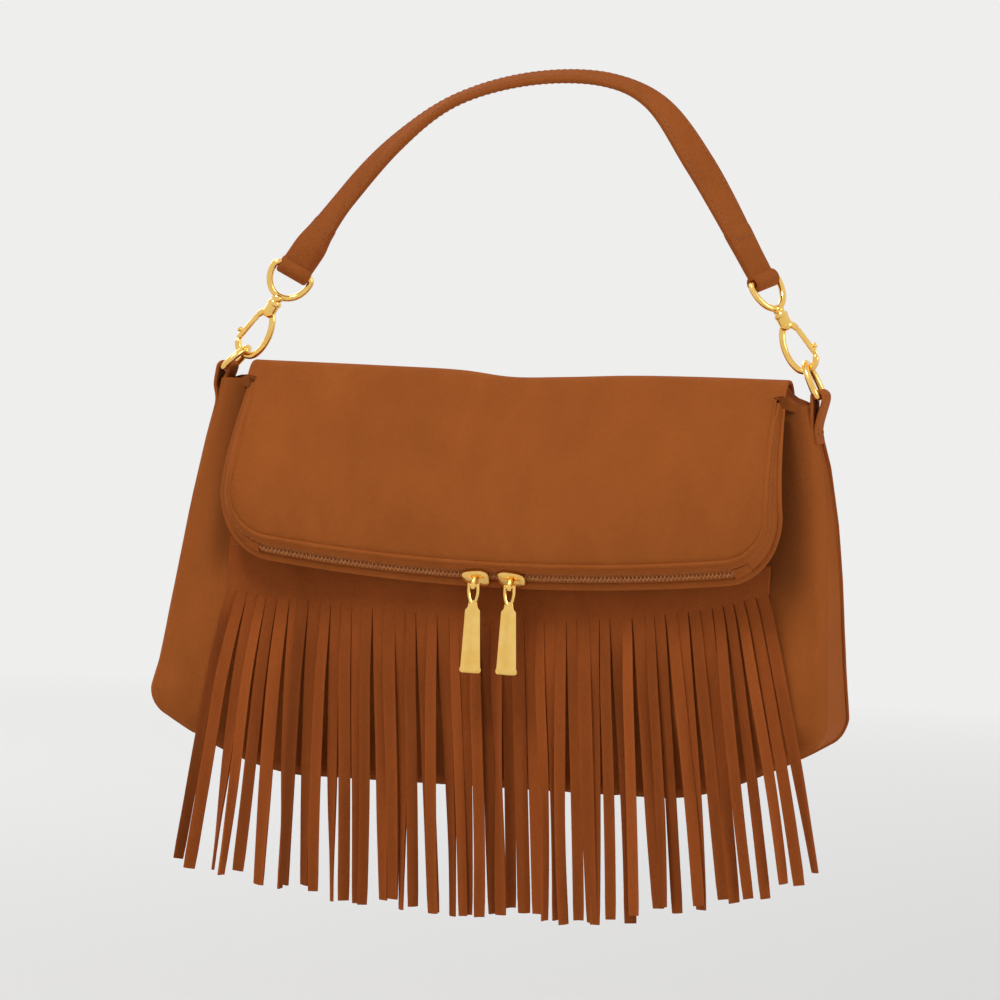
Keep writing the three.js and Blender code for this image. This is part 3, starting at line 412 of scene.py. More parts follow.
def suede(name, colour, brushed=0.09, shade=None):
    """Napped leather: brushed patches, mottling and fibres; shade names a mesh attribute from -1 to 1, which
    darkens the colour below zero and lightens it above: painted shade and highlights, and the strands' own
    tone.
    """
    finish = Finish(name)
    warp = finish.stretched((1.0, 1.0, 0.55))
    patches = finish.noise(26, detail=4, roughness=0.6, place=warp, distortion=0.6).step(0.34, 0.68)
    streaks = finish.noise(95, detail=3, place=finish.stretched((1.0, 1.0, 0.3))).step(0.3, 0.72)
    mottle = finish.noise(420, detail=3, roughness=0.6).step(0.28, 0.74)
    fibre = finish.noise(2300, detail=2, roughness=0.7)
    tone = patches * 0.5 + streaks * 0.3 + mottle * 0.2
    base = np.array(colour)
    dark = tuple(base * (1 - brushed) * (0.96, 0.92, 0.88))
    light = tuple(np.minimum(base * (1 + brushed) * (1.03, 1.02, 1.0), 1))
    napped = finish.mix(tone, dark, light)
    # The shade attribute paints shade below zero and light above it, on top of the nap.
    if shade:
        strip = finish.node("Attribute", {"attribute_name": shade}, {}, 2)
        napped = finish.mix(strip.step(0, 1), napped, tuple(np.minimum(base * 1.45, 1)))
        napped = finish.mix((strip * -1).step(0, 1), napped, tuple(base * 0.5))
    pores = finish.noise(1250, detail=2, roughness=0.6).step(0.56, 0.75)
    napped = finish.mix(pores * GRAIN, napped, tuple(base * 0.55))
    napped = finish.mix(fibre.step(0.5, 0.8) * GRAIN, napped, tuple(np.minimum(base * 1.5, 1)))
    finish.set(Base_Color=napped, Roughness=tone * -0.06 + 0.94, Sheen_Weight=0.22, Sheen_Roughness=0.4,
               Sheen_Tint=(*np.minimum(base * 2.2, 1), 1), Specular_IOR_Level=0.08)
    coarse = finish.bump(finish.noise(140, detail=3) * 0.6 + mottle * 0.4, 0.0005, 0.45)
    finish.set(Normal=finish.bump(fibre + pores * -0.6, 0.00022, 0.7, under=coarse))
    return finish.material


TAN = np.array(ink(158, 86, 37))
suede_outer = suede("suede", TAN)
suede_fringe = suede("suede_cut_in_strands", TAN * (0.82, 0.72, 0.72), brushed=0.14, shade="shade")
# A darker copy of the suede for the faces under the flap: painted shade.
suede_inner_painted_shade = suede("suede_under_flap_painted_shade", TAN * 0.86)
# A copy of the suede that takes the shade attribute: painted shadow beside the flap and at the fold's ends.
suede_painted_shade = suede("suede_in_painted_shade", TAN, shade="shade")
suede_strap = suede("suede_strap", TAN * (0.94, 0.94, 1.0), brushed=0.08)

# %% [markdown]
# The fittings are a polished pale gold plate. A plate like this is a metal with a low roughness, and it
# looks real through what it reflects, so the finish adds only faint wiping marks and a very slight
# waviness.

# %% Metal, thread, zip and inside


def gold_plate():
    """Polished gold-coloured plate with faint scratches."""
    finish = Finish("gold_plate")
    wiped = finish.noise(700, detail=3, place=finish.stretched((1.0, 1.0, 0.15))).step(0.35, 0.75)
    cloud = finish.noise(160, detail=2).step(0.3, 0.7)
    colour = finish.mix(cloud, ink(244, 196, 104), ink(250, 208, 122))
    relief = finish.noise(900, detail=2)
    return finish.made(colour, relief, 0.00004, 0.5, Metallic=1.0, Roughness=wiped * 0.1 + 0.13)


def thread():
    """Sewing thread: a diagonal twist of plies along each stitch."""
    finish = Finish("thread")
    twist = finish.waves("DIAGONAL", 900.0, 0.5)
    colour = finish.mix(twist, ink(112, 60, 24), ink(182, 106, 50))
    return finish.made(colour, twist, 0.0001, 0.6, Roughness=0.7)


def woven(name, first, second, scale):
    """Woven tape or cloth: two sets of fine waves at right angles, one over the other."""
    finish = Finish(name)
    weave = finish.waves("X", scale) * 0.5 + finish.waves("Z", scale * 0.9) * 0.5
    worn = finish.noise(60, detail=3).step(0.3, 0.7)
    colour = finish.mix(weave * 0.7 + worn * 0.3, first, second)
    return finish.made(colour, weave, 0.00015, 0.6, Roughness=0.85, Specular_IOR_Level=0.2)


def moulded():
    """The zip's moulded plastic, with a fine unevenness."""
    finish = Finish("zip_teeth")
    cloud = finish.noise(500, detail=2).step(0.3, 0.7)
    brown = np.array(ink(186, 114, 56))
    colour = finish.mix(cloud, tuple(brown * 0.8), tuple(brown * 1.15))
    return finish.made(colour, finish.noise(1500, detail=2), 0.00003, 0.4, Roughness=cloud * 0.1 + 0.45)


def grey_board():
    """Pressed card: flecks in a dull ground."""
    finish = Finish("grey_board")
    flecks = finish.noise(900, detail=4, roughness=0.7).step(0.45, 0.7)
    colour = finish.mix(flecks, ink(120, 104, 82), ink(158, 142, 116))
    return finish.made(colour, flecks, 0.0001, 0.5, Roughness=0.9)


gold = gold_plate()
sewing_thread = thread()
lining_cloth = woven("lining_cloth", ink(92, 66, 44), ink(124, 92, 64), 1400)
zip_cloth = woven("zip_tape", ink(142, 80, 34), ink(170, 98, 44), 1100)
zip_plastic = moulded()
card = grey_board()

# %% [markdown]
# The body is a flat pouch that widens downwards and stands deeper at its base than at its top. Seen from
# the front its outline is a sloping side, a tight rounded corner and a flat base. Both the panels and the
# strip that joins them follow that outline, so it is worked out once as a line of points.

# %% The body's outline and depth
BODY_TOP, BODY_BASE = -9.0, -181.0
TOP_HALF, LOWER_HALF, BASE_HALF = 131.0, 152.0, 80.0
CORNER_HEIGHT, CORNER_RADIUS, CORNER_TURN = -146.0, 13.0, math.radians(64)
DEPTH_TOP, DEPTH_BASE = 14.0, 54.0
FRONT_BULGE, BACK_BULGE, SET_BACK = 11.0, 7.0, 16.0
SUEDE, GAP = 1.8, 0.3


def outline_line():
    """Half of the body's outline: a straight side, an arc, and a quadratic curve into the flat base."""
    side = np.linspace([TOP_HALF, BODY_TOP], [LOWER_HALF, CORNER_HEIGHT], 90)
    angle = np.linspace(0, CORNER_TURN, 24)[1:, None]
    centre = np.array([LOWER_HALF - CORNER_RADIUS, CORNER_HEIGHT])
    corner = centre + CORNER_RADIUS * np.concatenate([np.cos(angle), -np.sin(angle)], 1)
    end, base = corner[-1], np.array([BASE_HALF, BODY_BASE])
    knee = np.array([BASE_HALF + 0.42 * (end[0] - BASE_HALF), BODY_BASE])
    t = np.linspace(0, 1, 40)[1:, None]
    return np.concatenate([side, corner, end * (1 - t) ** 2 + 2 * knee * t * (1 - t) + base * t * t])


body_line = outline_line()


def all_round(count):
    """The whole outline from right to left, and the way into the body at each of its points."""
    line = evenly(np.concatenate([body_line, body_line[::-1] * (-1, 1)]), count)
    heading = heading_of(line)
    return line, np.stack([heading[:, 1], -heading[:, 0]], -1)


whole_line = all_round(520)[0]


def settled(x, y, z):
    """The base hangs a little further back than the rings, in proportion to the height."""
    return np.stack(np.broadcast_arrays(x, y + SET_BACK * z / BODY_BASE, z), -1)


def half_depth(z):
    """Half of the gusset's width, which grows evenly down to the corner's height."""
    down = np.clip((BODY_TOP - z) / (BODY_TOP - CORNER_HEIGHT), 0, 1)
    return (DEPTH_TOP + (DEPTH_BASE - DEPTH_TOP) * down) / 2


def panel_middle(z):
    """From the bag's mid-plane to the middle of a flat panel's thickness."""
    return half_depth(z) + GAP + SUEDE / 2


def half_width(z):
    """Half of the body's width at a height."""
    return np.interp(-z, -body_line[:, 1], body_line[:, 0])


def swell(x, z):
    """How far a panel is pushed out: a half sine down the panel times a rounded fall to its sides."""
    down = np.clip((BODY_TOP - z) / (BODY_TOP - BODY_BASE), 0, 1)
    across = np.clip(np.abs(x) / half_width(z), 0, 1)
    return np.sin(math.pi * down) * (1 - across ** 3)


def from_edge(x, z):
    """The distance from points of a panel to the body's outline."""
    flat = np.stack(np.broadcast_arrays(x, z), -1).reshape(-1, 1, 2)
    near = np.concatenate([np.linalg.norm(part - whole_line[None], axis=-1).min(1)
                           for part in np.array_split(flat, 24)])
    return near.reshape(np.broadcast(x, z).shape)


EDGE_ROLL = 4.5  # radius of the panels' edges
SEAM_PINCH, SEAM_BEAD = 0.45, 1.25


def rolled(distance):
    """How far a panel falls back near its edge: a quarter circle."""
    inside = np.clip(EDGE_ROLL - distance, 0, EDGE_ROLL)
    return EDGE_ROLL - np.sqrt(EDGE_ROLL ** 2 - inside ** 2)


def slack(x, z, seed):
    """Soft unevenness of a hanging panel: a sum of slow waves with fixed phases."""
    s = seed * 1.7
    return (0.55 * np.sin(x / 23 + z / 61 + s) * np.sin(z / 37 + 2 * s)
            + 0.35 * np.sin(x / 11.3 - z / 90 + 3 * s) + 0.25 * np.sin(z / 17.1 + x / 53 + s))


def front_surface(x, z):
    """The front panel's outer face."""
    return -(half_depth(z) + GAP + SUEDE) - FRONT_BULGE * swell(x, z)


def back_surface(x, z):
    """The back panel's outer face."""
    return half_depth(z) + GAP + SUEDE + BACK_BULGE * swell(x, z)


def hung(grid):
    """The pouch hangs unevenly: each side moves by a curve of its own, and points between share it."""
    z = grid[..., 2]
    share = np.clip(grid[..., 0] / half_width(z), -1, 1)
    heights = [-181, -150, -134, -109, -85, -60, -35, -12]
    left = np.interp(z, heights, [-7.5, -7.0, -5.6, -5.6, -5.4, -5.4, -4.8, -3.4])
    right = np.interp(z, heights, [-8.5, -7.8, -6.2, -3.6, -1.0, 1.0, 1.6, -0.6])
    moved = grid.copy()
    moved[..., 0] += left * (1 - share) / 2 + right * (1 + share) / 2
    return moved


# %% [markdown]
# The front panel is one piece of suede. On the real bag its sides show beside the fringe, where the panel
# rolls back into the seam, and slow folds run down from the ring tabs. A grid of rows gives that surface
# directly, with the rows and columns set closer together near the edges, where the roll is.

# %% Front panel


def towards_ends(count):
    """Numbers from -1 to 1 that crowd towards both ends."""
    t = np.linspace(-1, 1, count)
    return np.sign(t) * (1 - (1 - np.abs(t)) ** (1 / 0.62))


def panel_grid(surface, sign, seed, columns=170, rows=190):
    """A panel inside the outline; sign is -1 at the front and 1 at the back."""
    line = evenly(body_line, rows)
    x = towards_ends(columns)[None, :] * line[:, None, 0]
    z = np.broadcast_to(line[:, None, 1], x.shape)
    distance = from_edge(x, z)
    y = surface(x, z) - sign * (SUEDE / 2 + rolled(distance))
    soft = ease(0, 14, distance) * ease(0, 30, BODY_TOP + 14 - z)
    side_folds = np.exp(-((np.abs(x) - half_width(z) + 15) / 6.5) ** 2) * ease(-20, -70, z) * 1.3
    y = y + sign * soft * (slack(x, z, seed) + side_folds)
    return hung(settled(x, y, z))


# Where and how deep the painted shadow beside the flap lies.
SHADE_EDGE, SHADE_FLARE, SHADE_WIDTH, SHADE_DEPTH = 121.5, 5.5, 7.5, 0.9


def painted_shadow_beside_flap(points):
    """Painted shadow on the front's nap: deepest right beside the flap, where light hardly reaches."""
    x, z = points[:, 0], points[:, 2]
    beyond = np.maximum(np.abs(x) - SHADE_EDGE - SHADE_FLARE * ease(-5, -65, z), 0)
    return -SHADE_DEPTH * np.exp(-(beyond / SHADE_WIDTH) ** 2) * ease(12, -4, z) * ease(-104, -78, z)


# The front panel's nap carries a painted shadow beside the flap's edges.
front_shape = soft_sheet(panel_grid(front_surface, -1, 1), SUEDE)
piece("front_skin", front_shape, suede_painted_shade, "bag", ["front_panel"],
      shade=painted_shadow_beside_flap(front_shape[0]))

# %% [markdown]
# A gusset is the strip that sets the front and the back apart: it runs down one side, under the base and up
# the other. It is made as one strip, pinched where it is sewn to the panels and drawn in along its middle
# near the top, where the bag is pressed flat.

# %% Gusset and base


def gusset_grid(columns=26):
    """The strip along the whole outline, with its seams' pinch and its middle's fold."""
    line, inwards = all_round(460)
    across = np.sin(np.linspace(-1, 1, columns) * math.pi / 2)
    z = line[:, 1]
    reach = panel_middle(z) - EDGE_ROLL + 1.2
    fold = (1 - across[None] ** 2) * (0.6 + 2.2 * ease(-150, -30, z)[:, None])
    pinch = SEAM_PINCH * np.exp(-((1 - np.abs(across[None])) / 0.12) ** 2)
    flat = line[:, None] + inwards[:, None] * (SUEDE / 2 + fold + pinch)[..., None]
    return hung(settled(flat[..., 0], reach[:, None] * across[None], flat[..., 1]))


piece("gusset_and_base", soft_sheet(gusset_grid(), SUEDE), suede_outer, "bag",
      ["gusset_left", "gusset_right", "base_panel"])


def seam_bead(sign):
    """The turned edge along a seam: a soft round bead where a panel meets the gusset."""
    line, inwards = all_round(700)
    flat = line + inwards * 1.1
    y = sign * (panel_middle(line[:, 1]) - EDGE_ROLL + 1.6)
    return tube(hung(settled(flat[:, 0], y, flat[:, 1])), SEAM_BEAD, BACK, sides=12)


piece("seam_beads", joined(seam_bead(-1), seam_bead(1)), suede_outer, "bag")


LINING_INSET, LINING_LIFT, LINING_CLOTH = 2.6, 1.8, 0.7


def lining_shape():
    """The cloth inside: both panels and the gusset again, narrowed a little and moved inwards."""
    inner = []
    for surface, sign, seed in ((front_surface, -1, 1), (back_surface, 1, 2)):
        grid = panel_grid(surface, sign, seed, 70, 80)[2:-1, 3:-3] * (0.985, 1, 1)
        inner.append(soft_sheet(grid - (0, sign * LINING_INSET, 0), LINING_CLOTH, 2))
    strip = gusset_grid(12)[2:-2, 1:-1]
    inner.append(soft_sheet(strip * (0.982, 1, 1) + (0, 0, LINING_LIFT), LINING_CLOTH, 2))
    return joined(*inner)


piece("lining_bag", lining_shape(), lining_cloth, "bag", ["lining"])

# %% [markdown]
# The back panel goes on over the top and becomes the flap, so it is one skin from the base to the zip. The
# fold is where the flap hinges. The rows of the grid run up the back, round a half circle and down the
# front.

# %% The flap's lines
FOLD_FRONT, FOLD_DROP = -13.6, -7.5
FLAP_TOP_HALF, FLAP_LOW_HALF, FLAP_CORNER = 119.5, 122.0, 20.0
FLAP_LOW, FLAP_ARC, FLAP_FRONT = -82.0, 830.0, -48.0
BAND_DROP, BAND_SIDE, BAND_START = 10.5, 5.0, 0.02
FLAP_SUEDE, FLAP_LAYERS = 1.5, 2.3
BAND_WIDTH = BAND_DROP * math.sqrt(2)


def seam_line():
    """Right half of the flap's lower seam: a wide arc and a rounded corner, with its outward direction."""
    corner = FLAP_LOW_HALF - FLAP_CORNER
    x = np.linspace(0, corner, 120)
    arc = np.stack([x, FLAP_LOW + FLAP_ARC - np.sqrt(FLAP_ARC ** 2 - x ** 2), x / FLAP_ARC,
                    -np.sqrt(1 - (x / FLAP_ARC) ** 2)], -1)
    slope = math.asin(corner / FLAP_ARC)
    angle = np.linspace(slope, math.pi / 2, 60)[1:]
    centre = arc[-1, :2] + FLAP_CORNER * np.array([-math.sin(slope), math.cos(slope)])
    turn = np.stack([np.sin(angle), -np.cos(angle)], -1)
    bend = np.concatenate([centre + FLAP_CORNER * turn, turn], -1)
    return evenly(np.concatenate([arc, bend]), 300)


half_seam = seam_line()


def seam_at(part):
    """Points of the lower seam; part runs from -1 at the left corner to 1 at the right one."""
    at = np.abs(part) * (len(half_seam) - 1)
    x, z, nx, nz = (np.interp(at, np.arange(len(half_seam)), half_seam[:, k]) for k in range(4))
    side = np.where(np.asarray(part) < 0, -1.0, 1.0)
    return side * x, z, side * nx, nz


def top_sag(x):
    """The top fold's line: level on the left, a dip at the middle, and a rise to the right."""
    at = [-125, -60, -26, -4, 20, 49, 80, 125]
    dip = [0.3, 0.5, 0.2, -1.7, -0.6, 1.4, 2.4, 3.0]
    smooth = smooth_path(np.stack([at, dip], -1), 90)
    return np.interp(x, smooth[:, 0], smooth[:, 1])


def flap_point(part, v, spread, shrink=0.0):
    """A point of the flap: v is 0 at the fold and 1 at the seam, spread 0 outside and 1 inside."""
    x0, z0, nx, nz = seam_at(part)
    out = (BAND_SIDE * nx ** 2 + BAND_DROP * nz ** 2) * spread - shrink
    low_x, low_z = x0 + nx * out, z0 + nz * out
    high_x = x0 / FLAP_LOW_HALF * (FLAP_TOP_HALF + 2 * spread - shrink)
    high_z = FOLD_DROP - 1.2 - 4 * spread
    bow = 1 - (1 - v) ** 1.6
    outer = FOLD_FRONT + (FLAP_FRONT - FOLD_FRONT) * bow
    inner = FOLD_FRONT + FLAP_LAYERS + (FLAP_FRONT + BAND_DROP - FOLD_FRONT - FLAP_LAYERS) * bow
    y = outer + (inner - outer) * spread + SET_BACK * (FOLD_DROP + (FLAP_LOW - FOLD_DROP) * v) / BODY_BASE
    x, z = high_x + (low_x - high_x) * v, high_z + (low_z - high_z) * v
    return np.stack(np.broadcast_arrays(x, y, z + top_sag(x) * (1 - v) ** 1.5), -1)


def band_point(t, s):
    """A point of the band: t runs down the left, along the bottom and up the right; s goes across."""
    along = 2 * np.asarray(t, float) - 1
    part = np.clip(np.abs(along) / 0.8, 0, 1) * np.where(along < 0, -1.0, 1.0)
    up = np.clip((np.abs(along) - 0.8) / 0.2, 0, 1)
    return flap_point(part, 1 - up * (1 - BAND_START), s)


# %% Back, fold and flap in one skin
FLAP_COLUMNS, PLEAT_SUEDE, INNER_FOLD_SUEDE = 180, 1.2, 1.0
FOLD_MIDDLE = (panel_middle(BODY_TOP) + FOLD_FRONT) / 2
FOLD_REACH = (panel_middle(BODY_TOP) - FOLD_FRONT) / 2


def fold_rows(count=26):
    """The fold's section: from the back panel over the crest to the flap."""
    crest = -SUEDE / 2
    angle = np.linspace(0, math.pi, count)
    lift = np.where(angle < math.pi / 2, crest - BODY_TOP, crest - FOLD_DROP)
    return np.stack([FOLD_MIDDLE + FOLD_REACH * np.cos(angle), crest - lift + lift * np.sin(angle)], -1)


def skin_grid():
    """Rows up the back, over the fold and down the flap, with the same number of columns throughout."""
    back = panel_grid(back_surface, 1, 2, columns=FLAP_COLUMNS)[::-1]
    share = towards_ends(FLAP_COLUMNS)
    section = fold_rows()[1:-1]
    climbed = np.linspace(0, 1, len(section) + 2)[1:-1]
    half = TOP_HALF - (TOP_HALF - FLAP_TOP_HALF - 0.4) * ease(0, 0.16, climbed)
    x = share[None, :] * half[:, None]
    y, z = section[:, None, 0], section[:, None, 1] + top_sag(x) * ease(0, 0.4, climbed)[:, None]
    fold = settled(x, np.broadcast_to(y, x.shape), z)
    v = 1 - (1 - np.linspace(0, 1, 80)) ** 1.25
    flap = flap_point(share[None, :], v[:, None], 0.0, 0.8)
    dent = 0.5 * np.sin(flap[..., 0] / 31 + 0.8) * np.sin(math.pi * v)[:, None] * np.sin(v * 5 + 1)[:, None]
    flat = ease(0, 0.12, 1 - np.abs(share))[None]
    flap[..., 1] -= (dent + 0.8 * np.sin(math.pi * v)[:, None]) * flat
    to_rim = np.clip(1 - np.linalg.norm(flap - flap[-1:], axis=-1) / 3, 0, 1)
    flap[..., 1] += 0.7 * to_rim ** 2
    rows = np.concatenate([back, fold, flap])
    joint = len(back) + len(fold)
    near = np.exp(-((np.arange(len(rows)) - joint) / 8) ** 2)[1:-1, None, None]
    for _ in range(24):
        rows[1:-1] += near * ((rows[:-2] + rows[2:]) / 2 - rows[1:-1]) * (0, 1, 1)
    return rows


back_and_flap = piece("back_and_flap", soft_sheet(skin_grid(), SUEDE), suede_outer, None,
                      ["back_panel", "flap_outer"])
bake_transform(back_and_flap)


def fold_end(side, round_steps=30, down_steps=8):
    """A pleat that closes the fold's end: sagging lines from the fold's rim to the gusset's top."""
    angle = np.linspace(0.12, math.pi - 0.1, round_steps)
    angle = np.append(angle, np.full(down_steps, angle[-1]))
    down = np.append(np.zeros(round_steps), np.linspace(0.12, 1, down_steps))
    still = np.ones(round_steps + down_steps)
    rim_z = BODY_TOP + 1.5 + float(top_sag(side * 119.0)) + 5.2 * np.sin(angle) ** 0.7 - 5 * down
    rim_y = FOLD_MIDDLE + (FOLD_REACH - 1.1) * np.cos(angle)
    rim = np.stack([still * (FLAP_TOP_HALF - 1.6), rim_y, rim_z], -1)
    top_y = (half_depth(BODY_TOP) - 0.4) * np.cos(angle)
    top = np.stack([still * (TOP_HALF - 2.2), top_y, BODY_TOP - 0.6 - 2 * down], -1)
    s = np.linspace(0, 1, 10)[:, None, None]
    grid = rim[None] * (1 - s) + top[None] * s
    grid[..., 2] -= 2.4 * np.sin(math.pi * s[..., 0]) * np.sin(angle)[None]
    grid = settled(grid[..., 0] * side, grid[..., 1], grid[..., 2])
    return soft_sheet(grid[:, ::side], PLEAT_SUEDE)


# The fold's ends are painted darker all over: painted shade.
fold_end_shape = joined(fold_end(-1), fold_end(1))
piece("fold_ends", fold_end_shape, suede_painted_shade, "bag", shade=np.full(len(fold_end_shape[0]), -0.6))

# %% [markdown]
# Inside the fold the front panel's top is sewn to the flap's inner side. Nobody sees it while the flap is
# down, but it opens up when the flap is lifted, so a narrow strip bridges the two.

# %% Flap's inner side and the inner fold


def inner_grid():
    """The flap's inner face, from the inner fold to the zip band."""
    part, v = np.linspace(-1, 1, 120), np.linspace(0, 1, 40)
    return flap_point(part[None, :], v[:, None], 1.0, 0.9)


piece("flap_inside", soft_sheet(inner_grid()[:, ::-1], FLAP_SUEDE), suede_inner_painted_shade, "flap",
      ["flap_inner"])


def inner_fold_grid():
    """A narrow hollow strip from the front panel's top edge to the flap's inner top edge."""
    top = flap_point(np.linspace(-0.98, 0.98, 90), 0.0, 1.0, 0.9)
    panel = settled(top[:, 0], -panel_middle(BODY_TOP), np.full(90, BODY_TOP))
    s = np.linspace(0, 1, 9)[:, None, None]
    dip = np.zeros((9, 90, 3))
    dip[..., 2] = 2.2 * np.sin(math.pi * s[..., 0]) * 0.5
    return panel[None] * (1 - s) + top[None] * s + dip


inner_fold = piece("inner_fold", soft_sheet(inner_fold_grid(), INNER_FOLD_SUEDE), suede_inner_painted_shade, None)
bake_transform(inner_fold)

# %% [markdown]
# A band runs round the flap's rim and faces forwards and down. Along the bottom it holds the zip: from the
# flap's seam inwards a rounded suede facing, the tape, two rows of teeth, and the same again. Up both sides
# plain suede takes the zip's place. Each is a section carried along the band's middle line, so they follow
# the corners together. The teeth are small lugs, because they catch the light one by one and a striped
# strip would look flat.

# %% Zip band


def band_frames(count, start=0.0, end=1.0):
    """Even places along the band's middle: origin, heading, across, outward normal and width scale."""
    t = np.linspace(start, end, 2400)
    length = travelled(band_point(t, 0.5))
    t = np.interp(np.linspace(0, length[-1], count), length, t)
    origin = band_point(t, 0.5)
    heading = heading_of(origin)
    wide = band_point(t, 1.0) - band_point(t, 0.0)
    scale = np.linalg.norm(wide, axis=-1) / BAND_WIDTH
    across = unit(wide)
    normal = unit(np.cross(heading, across))
    normal *= np.where(normal[len(normal) // 2, 1] > 0, -1.0, 1.0)
    return {"origin": origin, "heading": heading, "across": across, "normal": normal, "scale": scale,
            "length": length[-1]}


PLAIN_SHARE, TEETH_END = 1 / 6, 0.177  # shares of the band's length, from each end
TAPE_EDGE, FACING_SUEDE, TAPE_CLOTH = 2.8, 1.2, 0.7
TEETH_RANGE = (TEETH_END, 1 - TEETH_END)
whole_band = band_frames(400)


def band_strip(low, high, thickness, dome, offset=0.0, band=whole_band):
    """A strip of the band between two distances from its middle, with a domed outer face."""
    q = np.linspace(0, 1, 9)
    outer = np.stack([low + (high - low) * q, offset + thickness / 2 + dome * (1 - (2 * q - 1) ** 2)], -1)
    inner = np.array([[high, offset - thickness / 2], [low, offset - thickness / 2]])
    scale = np.stack([band["scale"], np.ones_like(band["scale"])], -1)
    section = np.concatenate([outer, inner])[None] * scale[:, None]
    return carry(section, band["origin"], band["across"], band["normal"])


BEAD = 1.15  # radius of the flap's edge
TOOTH_PITCH = 1.75
facing_out = BAND_WIDTH / 2 - 0.5
facing = joined(band_strip(-facing_out, -TAPE_EDGE, FACING_SUEDE, 0.55),
                band_strip(TAPE_EDGE, facing_out, FACING_SUEDE, 1.5))
piece("zip_facings", facing, suede_outer, "flap", ["zip_facing_outer", "zip_facing_inner"], 50)
zip_band = band_frames(300, *TEETH_RANGE)
tape_out = TAPE_EDGE + 0.6
tapes = [band_strip(*ends, TAPE_CLOTH, 0.0, -0.2, zip_band) for ends in ((-tape_out, -0.5), (0.5, tape_out))]
piece("zip_tapes", joined(*tapes), zip_cloth, "flap", ["zip_tape_outer", "zip_tape_inner"])
sides = [band_frames(110, 0, PLAIN_SHARE), band_frames(110, 1 - PLAIN_SHARE, 1)]
half = TAPE_EDGE + 0.3
plain = joined(*(band_strip(-half, half, FACING_SUEDE, 0.3, 0.1, band) for band in sides))
piece("band_sides", plain, suede_outer, "flap", ["band_end_left", "band_end_right"], crease=50)
cover_low, cover_high = PLAIN_SHARE - 0.004, TEETH_END + 0.003
covers = [band_frames(16, cover_low, cover_high), band_frames(16, 1 - cover_high, 1 - cover_low)]
half = TAPE_EDGE + 0.2
cover = joined(*(band_strip(-half, half, 1.6, 0.5, 0.35, band) for band in covers))
piece("zip_end_covers", cover, suede_outer, "flap", ["zip_stop_left", "zip_stop_right"])
rim = tube(band_point(np.linspace(0.012, 0.988, 500), 0.0), BEAD, BACK, sides=14)
piece("flap_rim", rim, suede_outer, "flap", ["flap_piping"])


def teeth_row(side, shift):
    """One row of teeth: each is a rounded lug across the band, four points wide and four high."""
    count = int(zip_band["length"] / TOOTH_PITCH)
    places = band_frames(count * 2 + 1, *TEETH_RANGE)
    origin, heading, across, normal, scale = (
        places[key][shift::2] for key in ("origin", "heading", "across", "normal", "scale"))
    scale = np.maximum(scale, 0.6)[:, None]
    corners = []
    for reach, half, high in ((-0.5, 0.34, 0.75), (0.1, 0.52, 1.15), (0.95, 0.46, 1.1), (1.7, 0.3, 0.55)):
        for along, up in ((-1, 0), (-0.7, 0.8), (0.7, 0.8), (1, 0)):
            corners.append(origin + across * (reach * side) * scale + heading * half * along
                           + normal * (0.1 + high * up))
    points = np.stack(corners, 1)
    faces = np.array(tube_faces(4, 4))[:, ::-side]
    every = faces[None] + (np.arange(len(points)) * 16)[:, None, None]
    return points.reshape(-1, 3), every.reshape(-1, 4)


piece("zip_teeth", joined(teeth_row(-1, 0), teeth_row(1, 1)), zip_plastic, "flap",
      ["zip_teeth_outer", "zip_teeth_inner"], crease=60)

# %% [markdown]
# The seams are sewn, and a line of stitches is what tells the eye that a band is a seam and not a groove. A
# stitch is a short thread that rises from one hole and goes down the next. They are all in one mesh a line.

# %% Stitching


def stitches(path, out, pitch=2.9, fill=0.72, radius=0.26, lift=0.2):
    """A row of stitches along a path; each is a low arch with a round section of five sides."""
    path, out = np.asarray(path, float), np.broadcast_to(out, np.shape(path))
    length = travelled(path)
    count = max(int(length[-1] / pitch), 1)
    starts = np.arange(count) * pitch + (length[-1] - count * pitch) / 2
    s = np.linspace(0, 1, 5)
    at = starts[:, None] + s[None] * pitch * fill
    line = np.stack([np.interp(at, length, path[:, k]) for k in range(3)], -1)
    away = unit(np.stack([np.interp(at, length, out[:, k]) for k in range(3)], -1))
    line = line + away * (lift * (1 - (2 * s - 1) ** 4) - 0.12)[None, :, None]
    run = unit(np.gradient(line, axis=1))
    beside = unit(np.cross(run, away))
    ring = circle(radius, 5)
    points = (line[:, :, None] + ring[None, None, :, :1] * beside[:, :, None]
              + ring[None, None, :, 1:] * away[:, :, None])
    every = [[v + 25 * k for v in face] for k in range(count) for face in tube_faces(5, 5)]
    return points.reshape(-1, 3), every


def along_band(distance, height):
    """A line along the band at a distance from its middle and a height off it, with the way out."""
    offset = whole_band["across"] * (distance * whole_band["scale"])[:, None]
    return whole_band["origin"] + offset + whole_band["normal"] * height, whole_band["normal"]


rows = [stitches(*(line[8:-8] for line in along_band(side * (TAPE_EDGE + 0.9), 0.85))) for side in (-1, 1)]
piece("zip_stitches", joined(*rows), sewing_thread, "flap")

# %% [markdown]
# The fringe is one strip of suede, sewn on above and cut into narrow strands. Strands cut from one hide all
# differ a little: they twist, lean, cup and end unevenly, and they fan out at both ends of the row. Each is
# a thin section carried along its own hanging line, and its unevenness comes from one seeded list of
# numbers.

# %% Fringe
STRAND_COUNT, STRAND_THICKNESS = 50, 1.2
HEADER_HALF, HEADER_SHIFT, HEADER_TOP = 121.0, -3.0, -78.0
HEADER_LOW, HEADER_RISE, HEADER_TILT = -106.0, 10.5, 6.0
STRAND_LENGTH, STRAND_LENGTH_END = 131.0, 121.0
FAN_LEFT, FAN_RIGHT, LEAN, STANDOFF = 32.5, 24.0, 6.5, 1.3


